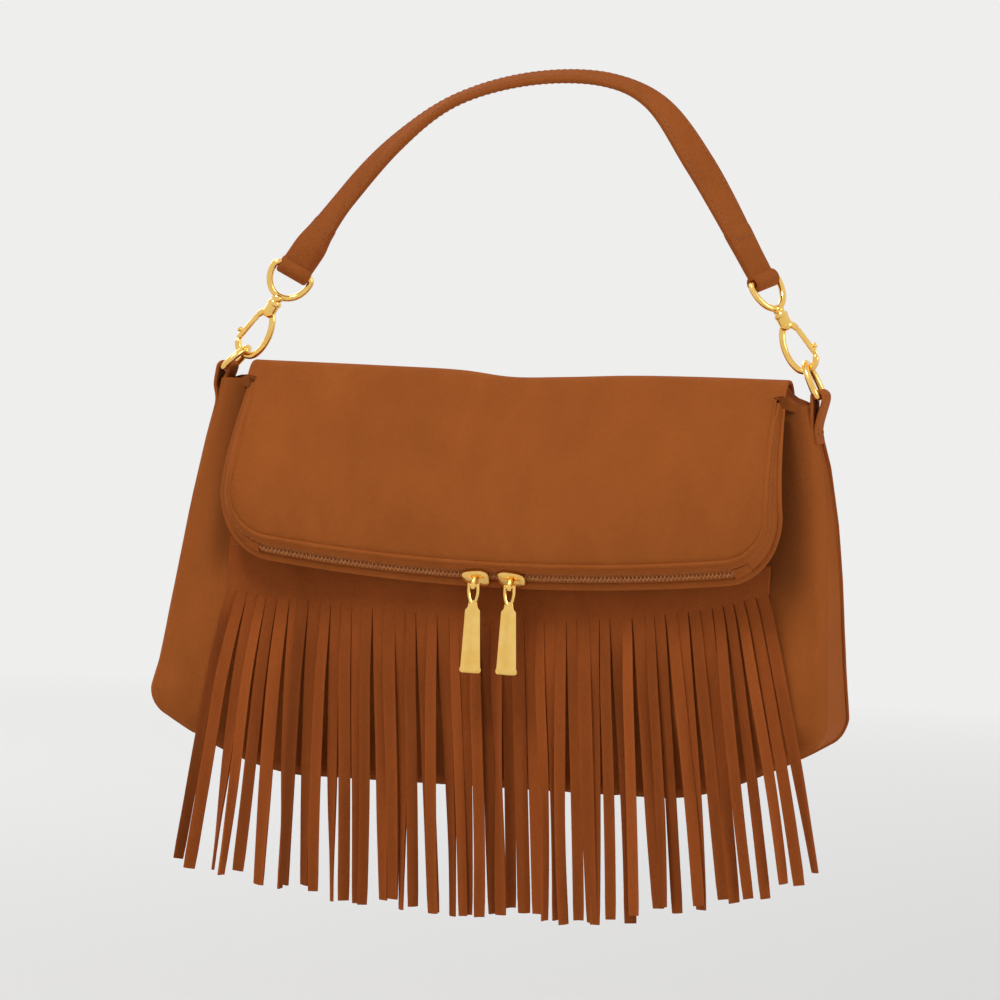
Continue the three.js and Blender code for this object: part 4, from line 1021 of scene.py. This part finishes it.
def header_low(x):
    """Where the cuts begin: higher at the ends, and most at the right one."""
    part = (x - HEADER_SHIFT) / HEADER_HALF
    return HEADER_LOW + HEADER_RISE * part ** 2 + HEADER_TILT * part ** 3


def header_y(x, z):
    """The fringe's mid-thickness in front of the panel."""
    return front_surface(x, z) - STANDOFF - STRAND_THICKNESS / 2


def header_grid():
    """The uncut strip above the strands."""
    x = HEADER_SHIFT + np.linspace(-HEADER_HALF, HEADER_HALF, 200)
    z = HEADER_TOP + (header_low(x)[None] - HEADER_TOP) * np.linspace(0, 1, 12)[:, None]
    x = np.broadcast_to(x, z.shape)
    return settled(x, header_y(x, z), z)


def strands():
    """Every strand, a cupped section of ten points carried down its length, and each point's shade."""
    chance = np.random.default_rng(11)
    steps, half_points = 19, 5
    t = np.linspace(0, 1, steps)
    parts, shades = [], []
    pitch = 2 * HEADER_HALF / STRAND_COUNT
    bounds = HEADER_SHIFT - HEADER_HALF + np.arange(STRAND_COUNT + 1) * pitch
    bounds[1:-1] += chance.uniform(-0.5, 0.5, STRAND_COUNT - 1)
    for index in range(STRAND_COUNT):
        start, width = bounds[index:index + 2].mean(), np.diff(bounds[index:index + 2])[0] - 0.12
        part = (start - HEADER_SHIFT) / HEADER_HALF
        length = STRAND_LENGTH + (STRAND_LENGTH_END - STRAND_LENGTH) * part ** 4 + chance.normal(0, 2.0)
        fan = (FAN_RIGHT if part > 0 else FAN_LEFT) * part ** 3 + LEAN + chance.normal(0, 1.5)
        x = start + fan * t ** 0.85 + chance.normal(0, 1.0) * np.sin(math.pi * t) * t
        top = header_low(start)
        z = top - length * t
        hang = np.minimum.accumulate(header_y(x, np.maximum(z, BODY_BASE)))
        depth = chance.uniform(1.7, 3.6) if index % 2 else chance.uniform(0, 0.9)
        y = hang - depth * ease(0, 0.3, t) - chance.uniform(-1.0, 2.2) * t ** 2
        turn = chance.normal(0, 0.26) * ease(0.02, 0.55, t) + chance.normal(0, 0.55) * ease(0.45, 1, t)
        if chance.random() < 0.12:
            turn = turn + chance.choice([-1, 1]) * chance.uniform(0.5, 0.9) * ease(0.15, 0.7, t)
        line = settled(x, y, z)
        run = heading_of(line)
        face = unit(np.cross(run, SIDEWAYS))
        side = np.cross(face, run)
        beside = side * np.cos(turn)[:, None] + face * np.sin(turn)[:, None]
        out = np.cross(run, beside)
        cup = chance.normal(0.0, 0.4) * ease(0, 0.5, t)
        q = np.linspace(-1, 1, half_points)
        broad = width / 2 * (1 + 0.07 * ease(0.03, 0.3, t))
        broad[-1] *= 0.93
        bend = cup[:, None] * (q[None] ** 2 - 0.4)
        thick = np.array([0.75, 1, 1, 1, 0.75]) * STRAND_THICKNESS / 2
        front = np.stack([q[None] * broad[:, None], bend + thick], -1)
        back = np.stack([q[None, ::-1] * broad[:, None], bend[:, ::-1] - thick[::-1]], -1)
        parts.append(carry(np.concatenate([front, back], 1), line, beside, out))
        rim_light = np.tile(np.abs(np.concatenate([q, q[::-1]])) ** 3, steps) * 0.35
        own = chance.normal(0, 0.3) * ease(0, 0.15, t)
        shades.append(rim_light * np.repeat(ease(0, 0.4, t), 10) + np.repeat(own, 10))
    return joined(*parts), np.concatenate(shades)


strand_shape, strand_shade = strands()
piece("fringe_strands", strand_shape, suede_fringe, "bag", ["fringe"], crease=50, shade=strand_shade)
header_shape = soft_sheet(header_grid(), STRAND_THICKNESS)
piece("fringe_header", header_shape, suede_fringe, "bag", shade=np.zeros(len(header_shape[0])))
seam_x = HEADER_SHIFT + np.linspace(-HEADER_HALF + 2, HEADER_HALF - 2, 200)
seam_z = np.full(200, HEADER_TOP - 3.0)
seam_path = settled(seam_x, header_y(seam_x, seam_z) - STRAND_THICKNESS / 2, seam_z)
piece("fringe_stitches", stitches(seam_path, (0, -1.0, 0)), sewing_thread, "bag")

# %% [markdown]
# Two rings and two snap hooks carry the bag. They are drawn from wire and turned parts, so each is a round
# section along a line or a profile turned on an axis. All of them are placed from the same four points:
# where the hooks touch the rings, and where they reach the strap.

# %% Places of the fittings
RING_BAR_X, RING_BAR_Z, RING_HALF, RING_WIRE = 133.6, -4.0, 9.0, 1.5
CONTACT = {-1: np.array([-124.8, 0, 5.0]), 1: np.array([126.4, 0, 10.4])}
AIM = {-1: np.array([-105.7, 0, 38.6]), 1: np.array([105.9, 0, 45.6])}
EYE_TURN = {-1: math.radians(20), 1: math.radians(60)}
NAME = {-1: "left", 1: "right"}
HOOK_WIRE, EYE_HEIGHT, EYE_HALF, EYE_LOW = 1.45, 40.5, 9.2, 27.0
BARREL_LOW, BARREL_TOP, BARREL_RADIUS = 17.0, 24.5, 3.1


class HookPlace:
    """A hook's own axes: u away from the bag's middle, w from the ring up to the strap, and the eye's bar."""

    def __init__(self, side):
        self.contact = CONTACT[side]
        self.w = unit(AIM[side] - self.contact)
        self.u = np.cross(BACK, self.w) * side
        turn = EYE_TURN[side]
        self.bar = self.u * side * math.cos(turn) + BACK * math.sin(turn)

    def at(self, pairs, first=None):
        """Points at distances along u, or along another first axis, and along w from the ring's contact."""
        pairs = np.atleast_2d(np.asarray(pairs, float))
        first = self.u if first is None else first
        return self.contact + pairs[:, :1] * first + pairs[:, 1:] * self.w


places = {side: HookPlace(side) for side in (-1, 1)}


def fitting(name, shape, node, crease=40):
    """A plated piece that stands for one node and rides on the body of the same name."""
    piece(name, shape, gold, node, [node], crease)


def d_outline(half, corner, reach, arch_steps, bar_steps):
    """A D with its bar at height zero: an arch, two rounded corners and the straight bar between them."""
    angle = np.linspace(0, math.pi, arch_steps)
    arch = np.stack([half * np.cos(angle), corner + (reach - corner) * np.sin(angle)], -1)
    turn = np.linspace(0, math.pi / 2, 8)[1:-1]
    before = np.stack([-half + corner - corner * np.cos(turn), corner - corner * np.sin(turn)], -1)
    bar = np.stack([np.linspace(-half + corner, half - corner, bar_steps), np.zeros(bar_steps)], -1)
    after = np.stack([half - corner + corner * np.sin(turn), corner - corner * np.cos(turn)], -1)
    return np.concatenate([arch, before, bar, after])


# %% Rings


def ring_shape(side):
    """A D of round wire: a straight bar in the tab and an arch up to the hook."""
    bar = np.array([side * RING_BAR_X, 0, RING_BAR_Z])
    up = CONTACT[side] - bar
    flat = d_outline(RING_HALF, 3.0, np.linalg.norm(up), 40, 12)
    path = bar + flat[:, :1] * BACK + flat[:, 1:] * unit(up)
    return tube(path, RING_WIRE, unit(np.cross(unit(up), BACK)), sides=18, closed=True)


for side in (-1, 1):
    fitting(f"ring_{NAME[side]}", ring_shape(side), f"d_ring_{NAME[side]}")

# %% Hooks
GATE_HINGE, GATE_TIP, STEM = (3.6, 15.2), (5.9, 1.5), 1.2
HOOK_LINE = [(-1.2, 19), (-3.6, 15.6), (-5.5, 9.5), (-5.4, 2.5), (-3.4, -2), (0, -3.4), (3.3, -2.3),
             (4.9, -0.4), (5.4, 1.4)]
KNOB_SHARE = 0.76  # where the thumb knob sits between the gate's hinge and its tip


def hook_shape(place):
    """The hook's wire, its turned barrel and the cheek that holds the gate."""
    line = smooth_path(place.at(HOOK_LINE), 60)
    radius = np.full(60, HOOK_WIRE)
    radius[-3:] *= (0.97, 0.85, 0.55)
    wire = tube(line, radius, BACK, sides=18)
    r, low, high = BARREL_RADIUS, BARREL_LOW, BARREL_TOP
    bore = STEM + 0.35
    profile = [(0, low - 0.6), (r * 0.6, low - 0.6), (r * 0.86, low), (r, low + 0.9), (r, low + 1.5),
               (r * 0.9, low + 1.9), (r * 0.9, high - 2.2), (r, high - 1.8), (r, high - 0.8),
               (r * 0.84, high), (bore, high), (bore, high - 4), (0, high - 4)]
    barrel = spun(profile, place.contact, place.w)
    knuckle = tube(smooth_path(place.at([(1.0, BARREL_LOW + 1), (2.4, 17.4), GATE_HINGE]), 10),
                   np.linspace(HOOK_WIRE * 1.1, HOOK_WIRE * 0.98, 10), BACK, sides=16)
    return joined(wire, barrel, knuckle)


def gate_shape(place):
    """The spring gate: a flattened tapering bar from the hinge to the hook's tip, with a thumb knob."""
    hinge, tip = place.at([GATE_HINGE])[0], place.at([GATE_TIP])[0]
    along = unit(tip - hinge)
    across_gate = unit(np.cross(along, BACK))
    s = np.linspace(0, 1, 22)
    wide = np.interp(s, [0, 0.08, 0.25, 0.8, 0.95, 1], [0.9, 1.25, 1.2, 1.3, 1.3, 1.0])
    deep = np.interp(s, [0, 0.2, 0.35, 0.9, 1], [0.75, 0.78, 1.25, 1.25, 0.7])
    section = circle(1, 18)[None] * np.stack([wide, deep], -1)[:, None]
    origins = hinge + (tip - hinge) * s[:, None]
    bar = carry(section, origins, across_gate, BACK)
    outward = across_gate * np.sign(across_gate @ place.u)
    profile = [(0, 0.2), (0.8, 0.4), (0.75, 1.2), (1.2, 1.7), (1.3, 2.2), (1.0, 2.7), (0, 2.85)]
    return joined(bar, spun(profile, hinge + (tip - hinge) * KNOB_SHARE, outward, 20))


def eye_shape(place):
    """The swivel eye: a D of wire round the strap's end, a collar, and the stem inside the barrel."""
    outline = d_outline(EYE_HALF, 2.2, EYE_HEIGHT - EYE_LOW, 44, 14) * (1, -1) + (0, EYE_HEIGHT)
    path = place.at(outline, place.bar)
    wire = tube(path, HOOK_WIRE, unit(np.cross(place.bar, place.w)), sides=18, closed=True)
    low = BARREL_TOP + GAP
    profile = [(0, low), (2.1, low), (2.5, low + 0.5), (2.5, low + 1.6), (1.9, low + 2.6), (0, low + 3.4)]
    collar = spun(profile, place.contact, place.w)
    profile = [(0, BARREL_TOP - 4.5), (STEM, BARREL_TOP - 4.2), (STEM, EYE_LOW), (0, EYE_LOW)]
    return joined(wire, collar, spun(profile, place.contact, place.w, 20))


for side, place in places.items():
    name = NAME[side]
    fitting(f"hook_wire_{name}", hook_shape(place), f"hook_{name}", 35)
    fitting(f"gate_{name}", gate_shape(place), f"hook_gate_{name}")
    fitting(f"swivel_eye_{name}", eye_shape(place), f"hook_eye_{name}")

# %% [markdown]
# Each ring is held by a tab of suede that wraps round its bar and is sewn to the gusset. The tab's section
# is a loop of one strip, so it is a single line thickened and given a width.

# %% Tabs
TAB_WIDTH, TAB_LENGTH, TAB_LAYER, TAB_INSET = 14.0, 15.0, 1.6, 1.6


def tab_grid(side):
    """Down the outside, round the ring's bar and down again on the inside, times the width."""
    slope = unit(body_line[40] - body_line[0])
    out = np.array([-slope[1], slope[0]])
    bar = np.array([RING_BAR_X, RING_BAR_Z])
    loop = RING_WIRE + GAP + TAB_LAYER / 2
    start = body_line[0] - out * TAB_INSET
    outer_leg = start + out * (GAP + 1.5 * TAB_LAYER)
    inner_leg = start + out * (GAP + 0.5 * TAB_LAYER)
    angle = math.atan2(out[1], out[0]) + np.linspace(-0.25, math.pi + 0.2, 6)
    arc = bar + loop * np.stack([np.cos(angle), np.sin(angle)], -1)
    knots = np.concatenate([[outer_leg + slope * TAB_LENGTH], [outer_leg + slope * 9], arc,
                            [inner_leg + slope * 8.5], [inner_leg + slope * (TAB_LENGTH - 1)]])
    line = smooth_path(knots, 70)
    wide = np.linspace(-1, 1, 15) * (TAB_WIDTH / 2 - GAP)
    x = side * line[:, None, 0] + 0 * wide[None]
    if side < 0:
        x = x - 2.6 * ease(-3, -13, line[:, None, 1])
    return np.stack([x, wide[None] + 0 * x, line[:, None, 1] + 0 * x], -1), slope, out, outer_leg


for side in (-1, 1):
    name = NAME[side]
    grid, slope, out, leg = tab_grid(side)
    piece(f"tab_loop_{name}", soft_sheet(grid[:, ::side], TAB_LAYER), suede_outer, "bag",
          [f"tab_{name}"])
    edge = leg + out * (TAB_LAYER / 2)
    square = [(4.5, -5), (4.5, 5), (13, 5), (13, -5), (4.5, -5)]
    path = [(side * (edge + slope * d)[0], y, (edge + slope * d)[1]) for d, y in square]
    way_out = np.array([side * out[0], 0, out[1]])
    seams = [stitches([path[k], path[k + 1]], way_out, pitch=2.2) for k in range(4)]
    piece(f"tab_stitches_{name}", joined(*seams), sewing_thread, "bag")

# %% [markdown]
# The strap is two layers of suede over a soft core. It arches over the hand, and because its ends are held
# by eyes that face different ways it twists along its length. A rounded section is carried along the arch
# and turned as it goes, and a shallow channel near each edge holds the line of stitches.

# %% Strap
STRAP_WIDTH, STRAP_THICKNESS, FOLD_OVER = 14.5, 5.0, 24.0
CHANNEL_AT = 0.74  # of the half width
STRAP_KNOTS = [(-83, 72.6), (-60.4, 98.6), (-35.1, 117.9), (0, 129), (34, 129.5), (54.5, 121), (75.5, 95)]
TURN_STOPS = [(0, math.degrees(EYE_TURN[-1])), (0.14, 48), (0.4, 75), (0.62, 75), (0.8, 42),
              (1, math.degrees(EYE_TURN[1]))]


def strap_frames(count=240):
    """Places along the strap: origin, width direction and thickness direction."""
    ends = [places[side].at([(0, EYE_HEIGHT)])[0] for side in (-1, 1)]
    knots = [ends[0], *[(x, 0, z) for x, z in STRAP_KNOTS], ends[1]]
    line = smooth_path(knots, count)
    t = np.linspace(0, 1, count)
    degrees = np.zeros(count)
    for (t0, a), (t1, b) in zip(TURN_STOPS[:-1], TURN_STOPS[1:]):
        inside = (t >= t0) & (t <= t1)
        degrees[inside] = a + (b - a) * ease(t0, t1, t[inside])
    turn = np.radians(degrees)[:, None]
    run = heading_of(line)
    flat = unit(np.cross(run, BACK))
    width = flat * np.cos(turn) + BACK * np.sin(turn)
    reach = travelled(line)[-1]
    for end, side, way in ((0, -1, t), (-1, 1, 1 - t)):
        bar = places[side].bar * np.sign(places[side].bar @ width[end])
        share = ease(3, 22, way * reach)[:, None]
        width = unit(bar * (1 - share) + width * share)
    return t, line, width, unit(np.cross(run, width))


def strap_section(count=48):
    """A flat section with rounded corners and a shallow channel near each edge."""
    c, s = circle(1, count).T
    x, y = powered(c, 0.42), powered(s, 0.62)
    channel = 0.3 * np.exp(-((np.abs(x) - CHANNEL_AT) / 0.07) ** 2) / (STRAP_THICKNESS / 2)
    return np.stack([x * STRAP_WIDTH / 2, y * (1 - channel) * STRAP_THICKNESS / 2], -1)


t, strap_line, strap_wide, strap_deep = strap_frames()
strap_length = travelled(strap_line)[-1]
from_end = np.minimum(t, 1 - t) * strap_length
thin = 1.0 - 0.24 * ease(FOLD_OVER, FOLD_OVER + 1.4, from_end) - 0.2 * ease(7, 0, from_end)
section = strap_section()[None] * np.stack([np.ones_like(thin), thin], -1)[:, None]
inside = slice(2, -2)
strap_body = carry(section[inside], strap_line[inside], strap_wide[inside], strap_deep[inside])


def strap_loop(side):
    """The strap's end goes round the eye's bar: a ring section, wide as the strap, rounded at both rims."""
    place = places[side]
    centre = place.at([(0, EYE_HEIGHT)])[0]
    inner, outer = HOOK_WIRE + GAP, HOOK_WIRE + GAP + 2.2
    edge = STRAP_WIDTH / 2
    rounding = [(inner, 0.4), (inner + 0.5, 0), (outer - 0.6, 0), (outer, 0.7)]
    ring = np.array([(r, cut - edge) for r, cut in rounding] + [(r, edge - cut) for r, cut in rounding[::-1]])
    turned = circle(1, 40)
    spoke = turned[:, :1] * place.w + turned[:, 1:] * np.cross(place.bar, place.w)
    points = centre + spoke[:, None] * ring[None, :, :1] + place.bar * ring[None, :, 1:]
    return points.reshape(-1, 3), grid_faces(40, 8, around=True, closed=True)


loops = [strap_loop(side) for side in (-1, 1)]
piece("strap_suede", joined(strap_body, *loops), suede_strap, "strap", ["strap"], crease=50)
seams = []
keep = slice(12, -12)
for face in (-1, 1):
    for edge in (-1, 1):
        path = (strap_line + strap_wide * (edge * CHANNEL_AT * STRAP_WIDTH / 2)
                + strap_deep * (face * (STRAP_THICKNESS / 2 * 0.82) * thin)[:, None])
        seams.append(stitches(path[keep], strap_deep[keep] * face, lift=0.25))
cross_seam = (FOLD_OVER - 3) / strap_length
half_line = np.linspace(-0.72, 0.72, 24)[:, None] * STRAP_WIDTH / 2
for face in (-1, 1):
    for at in np.searchsorted(t, [cross_seam, 1 - cross_seam]):
        path = strap_line[at] + strap_wide[at] * half_line + strap_deep[at] * (face * STRAP_THICKNESS / 2)
        seams.append(stitches(path, strap_deep[at] * face, pitch=2.2, lift=0.25))
piece("strap_stitches", joined(*seams), sewing_thread, "strap")

# %% [markdown]
# The zip closes from both ends, so it has two sliders that meet at the middle. A slider is a small cast
# body with a bridge on its back, and a long pull hangs from the bridge. The pull is a faceted bar that
# widens downwards: its flat faces are what flash as it moves, so its section has ten sides with sharp
# edges.

# %% Slider and pull places
SLIDER_LENGTH, SLIDER_WIDTH, SLIDER_SPACING, PIN_STANDOFF = 12.5, 10.0, 16.0, 6.5
PULL_LENGTH, LUG_WIDTH, PLATE_LOW, PLATE_HIGH = 39.0, 2.0, 1.5, 2.9
middle = band_point(0.5, 0.5)
arc_centre = FLAP_LOW + FLAP_ARC
arc_reach = arc_centre - middle[2]
band_across = unit(band_point(0.5, 0.7) - band_point(0.5, 0.3))
band_out = np.cross(SIDEWAYS, band_across)
band_out = band_out * (-1 if band_out[1] > 0 else 1)


def on_arc(points, side):
    """Points drawn at the middle of the zip are turned about the arc's centre to a slider's own place."""
    angle = side * SLIDER_SPACING / 2 / arc_reach
    points = np.asarray(points, float)
    centre = np.array([0, middle[1], arc_centre])
    c, s = math.cos(angle), math.sin(angle)
    rel = points - centre
    turned = np.stack([rel[:, 0] * c - rel[:, 2] * s, rel[:, 1], rel[:, 0] * s + rel[:, 2] * c], -1)
    return turned + centre


def slider_points(local):
    """Local (along, across, out) distances from the zip's middle as points."""
    local = np.asarray(local, float)
    return middle + local @ np.stack([SIDEWAYS, band_across, band_out])


# %% Sliders
PLATE_POWER = 3.2  # the superellipse's exponent


def plate(length, width, low, high, dome, side, count=48):
    """A rounded plate: a superellipse outline, straight edge and domed face, worked out ring by ring."""
    outline = powered(circle(1, count), 2 / PLATE_POWER) * (length, width) / 2
    outline[:, 1] *= np.clip(1 - 0.16 * side * outline[:, 0] / (length / 2), 0.7, 1.1)
    rim = high - 0.3
    profile = [(0.0, low), (0.95, low), (1.0, low + 0.15), (1.0, rim)]
    rise = dome + 0.3
    profile += [(math.cos(a), rim + rise * math.sin(a)) for a in np.linspace(0.25, math.pi / 2, 10)]
    points = [np.concatenate([outline * max(k, 1e-3), np.full((count, 1), h)], 1) for k, h in profile]
    return np.concatenate(points), tube_faces(len(profile), count)


def slider_shape(side):
    """Front plate, back plate, the neck between them, and the bridge that the pull hangs from."""
    front = plate(SLIDER_LENGTH, SLIDER_WIDTH, PLATE_LOW, PLATE_HIGH, 0.5, side)
    back = plate(SLIDER_LENGTH - 0.5, 6.0, PLATE_LOW, PLATE_HIGH, 0.2, side)
    back = (back[0] * (1, 1, -1), [f[::-1] for f in back[1]])
    neck = plate(8.0, 0.5, -2.0, 2.0, 0.0, side, count=16)
    s = np.linspace(0, math.pi, 24)
    arch = np.stack([0 * s, 1.9 * np.cos(s), 2.6 + (PIN_STANDOFF + 1.1 - 2.6) * np.sin(s) ** 0.8], -1)
    section = powered(circle(1, 12), 0.6) * (LUG_WIDTH / 2, 0.75)
    bridge = carry(section, arch, SIDEWAYS, np.cross(SIDEWAYS, heading_of(arch)))
    end = LUG_WIDTH / 2 + GAP + 1.4
    profile = [(0, -end), (0.7, -end), (0.8, -end + 0.1), (0.8, end - 0.1), (0.7, end), (0, end)]
    pin = spun(profile, (0, 0, PIN_STANDOFF), SIDEWAYS, 16)
    points, faces = joined(front, back, neck, bridge, pin)
    return on_arc(slider_points(points), side), faces


def pull_shape(side):
    """A ten-sided bar that widens downwards, a neck, and two prongs round the slider's bridge."""
    head = [(6.2, 1.2, 0.9), (7.2, 1.9, 1.0), (8.6, 2.1, 1.1), (9.4, 2.3, 1.2), (10.6, 3.3, 1.2)]
    foot = [(3.6, 4.4, 1.3), (3.1, 4.75, 1.35), (1.9, 4.75, 1.35), (1.4, 4.4, 1.1), (1.1, 3.9, 0.8)]
    drop, w, d = np.array(head + [(PULL_LENGTH - up, wide, deep) for up, wide, deep in foot]).T
    bevel = w * 0.5
    corners = [(1, 0, 0.3), (1, -1, 0.92), (0, 0, 1.1), (-1, 1, 0.92), (-1, 0, 0.3),
               (-1, 0, -0.3), (-1, 1, -0.92), (0, 0, -1.1), (1, -1, -0.92), (1, 0, -0.3)]
    section = np.stack([np.stack([w * a + bevel * b, d * c], -1) for a, b, c in corners], 1)
    origins = np.stack([0 * w, 0 * w, -drop], -1)
    bar = carry(section, origins, SIDEWAYS, -BACK)
    prongs = []
    box = np.array([[0.7, -0.8], [0.7, 0.8], [0.4, 1.1], [-0.4, 1.1],
                    [-0.7, 0.8], [-0.7, -0.8], [-0.4, -1.1], [0.4, -1.1]])
    reach = LUG_WIDTH / 2 + GAP + 0.7
    for s in (-1, 1):
        line = smooth_path([(s * reach, 0, 1.1), (s * reach, 0, 0), (s * reach, 0, -3.0), (s * 1.5, 0, -5.6),
                            (s * 0.8, 0, -7.4)], 16)
        prongs.append(carry(box, line, np.cross(BACK, heading_of(line)), BACK))
    points, faces = joined(bar, *prongs)
    return points + on_arc([middle + band_out * PIN_STANDOFF], side)[0], faces


for side in (-1, 1):
    name = NAME[side]
    fitting(f"slider_{name}", slider_shape(side), f"zip_slider_{name}", 35)
    fitting(f"pull_{name}", pull_shape(side), f"zip_pull_{name}", 18)

# %% [markdown]
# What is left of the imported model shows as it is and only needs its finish: the lining, the pocket, the
# base board and the hinge pins.

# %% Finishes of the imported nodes
kept = {
    "lining": lining_cloth, "inner_pocket": lining_cloth, "base_board": card, "gate_pin_left": gold,
    "gate_pin_right": gold,
}
for node, finish in kept.items():
    for slot_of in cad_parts[node].material_slots:
        slot_of.material = finish
    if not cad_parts[node].material_slots:
        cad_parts[node].data.materials.append(finish)

# %% [markdown]
# The studio is a pale floor that fades into a pale surround, so no edge of it crosses the picture. A soft
# lamp stands high in front, weaker ones stand on the right and behind, and the surround fills the shadows.
# Metal mirrors a surround that is dark below and bright above, which gives the fittings their form.

# %% Floor, surround and lamps
FLOOR_DROP, FLOOR_SIDES = 330.0, 64
PALE = (0.86, 0.855, 0.85)


def floor():
    """A wide disc below the fringe that fades into the surround's colour."""
    radius = np.array([0.0, 300, 900, 2500, 9000])
    height = np.full((FLOOR_SIDES, 1), -FLOOR_DROP)
    points = np.concatenate([np.concatenate([circle(max(r, 1e-2), FLOOR_SIDES), height], 1) for r in radius])
    finish = Finish("pale_floor")
    finish.set(Base_Color=PALE, Roughness=0.9, Specular_IOR_Level=0.1)
    distance = finish.node("VectorMath", {"operation": "LENGTH"}, {0: finish.stretched((1.0, 1.0, 0.0))}, 1)
    glow = finish.tree.nodes.new("ShaderNodeEmission")
    glow.inputs["Color"].default_value = (*PALE, 1)
    blend = finish.tree.nodes.new("ShaderNodeMixShader")
    finish.tree.links.new(distance.step(0.5, 2.4).socket, blend.inputs[0])
    finish.tree.links.new(finish.shader.outputs[0], blend.inputs[1])
    finish.tree.links.new(glow.outputs[0], blend.inputs[2])
    for node in finish.tree.nodes:
        if node.type == "OUTPUT_MATERIAL":
            finish.tree.links.new(blend.outputs[0], node.inputs["Surface"])
    made = piece("floor", (points, grid_faces(5, FLOOR_SIDES, around=True)[:, ::-1]), finish.material)


floor()


def lamp(name, place, size, watts):
    """A square white lamp that faces the bag."""
    data = bpy.data.lights.new(name, "AREA")
    data.shape, data.size, data.energy = "SQUARE", size, watts
    made = bpy.data.objects.new(name, data)
    bpy.context.scene.collection.objects.link(made)
    place = np.array(place, float)
    back_axis = unit(place - np.array([0, 0, -0.2]))
    side_axis = unit(np.cross([0, 0, 1.0], back_axis))
    matrix = np.eye(4)
    matrix[:3] = np.stack([side_axis, np.cross(back_axis, side_axis), back_axis, place], -1)
    made.matrix_world = matrix.T.tolist()


lamp("key", (-0.45, -1.1, 1.65), 0.6, 25)
lamp("right_fill", (1.9, -0.35, 0.3), 0.8, 9)
lamp("back_fill", (-1.2, 1.6, 0.8), 1.2, 13)

world = bpy.data.worlds.new("surround")
world.use_nodes = True
tree = world.node_tree
tree.nodes.clear()
rays = tree.nodes.new("ShaderNodeLightPath")
heading = tree.nodes.new("ShaderNodeSeparateXYZ")
coordinates = tree.nodes.new("ShaderNodeTexCoord")
tree.links.new(coordinates.outputs["Generated"], heading.inputs[0])
shown = Mask(tree, heading.outputs["Z"]).step(-0.6, 0.1) * 0.8 + 0.2


def surround(colour, strength):
    """A plain surround of one colour."""
    node = tree.nodes.new("ShaderNodeBackground")
    node.inputs["Color"].default_value = (*colour, 1)
    feed(tree, node.inputs["Strength"], strength)
    return node.outputs[0]


def chosen(ray, otherwise, picked):
    """One shader for a kind of ray and another for the rest."""
    node = tree.nodes.new("ShaderNodeMixShader")
    tree.links.new(rays.outputs[ray], node.inputs[0])
    tree.links.new(otherwise, node.inputs[1])
    tree.links.new(picked, node.inputs[2])
    return node.outputs[0]


mirrored = chosen("Is Glossy Ray", surround((1, 1, 1), 0.35), surround(PALE, shown))
output = tree.nodes.new("ShaderNodeOutputWorld")
tree.links.new(chosen("Is Camera Ray", mirrored, surround(PALE, 1.0)), output.inputs["Surface"])
bpy.context.scene.world = world
bpy.context.scene.view_settings.view_transform = "Standard"
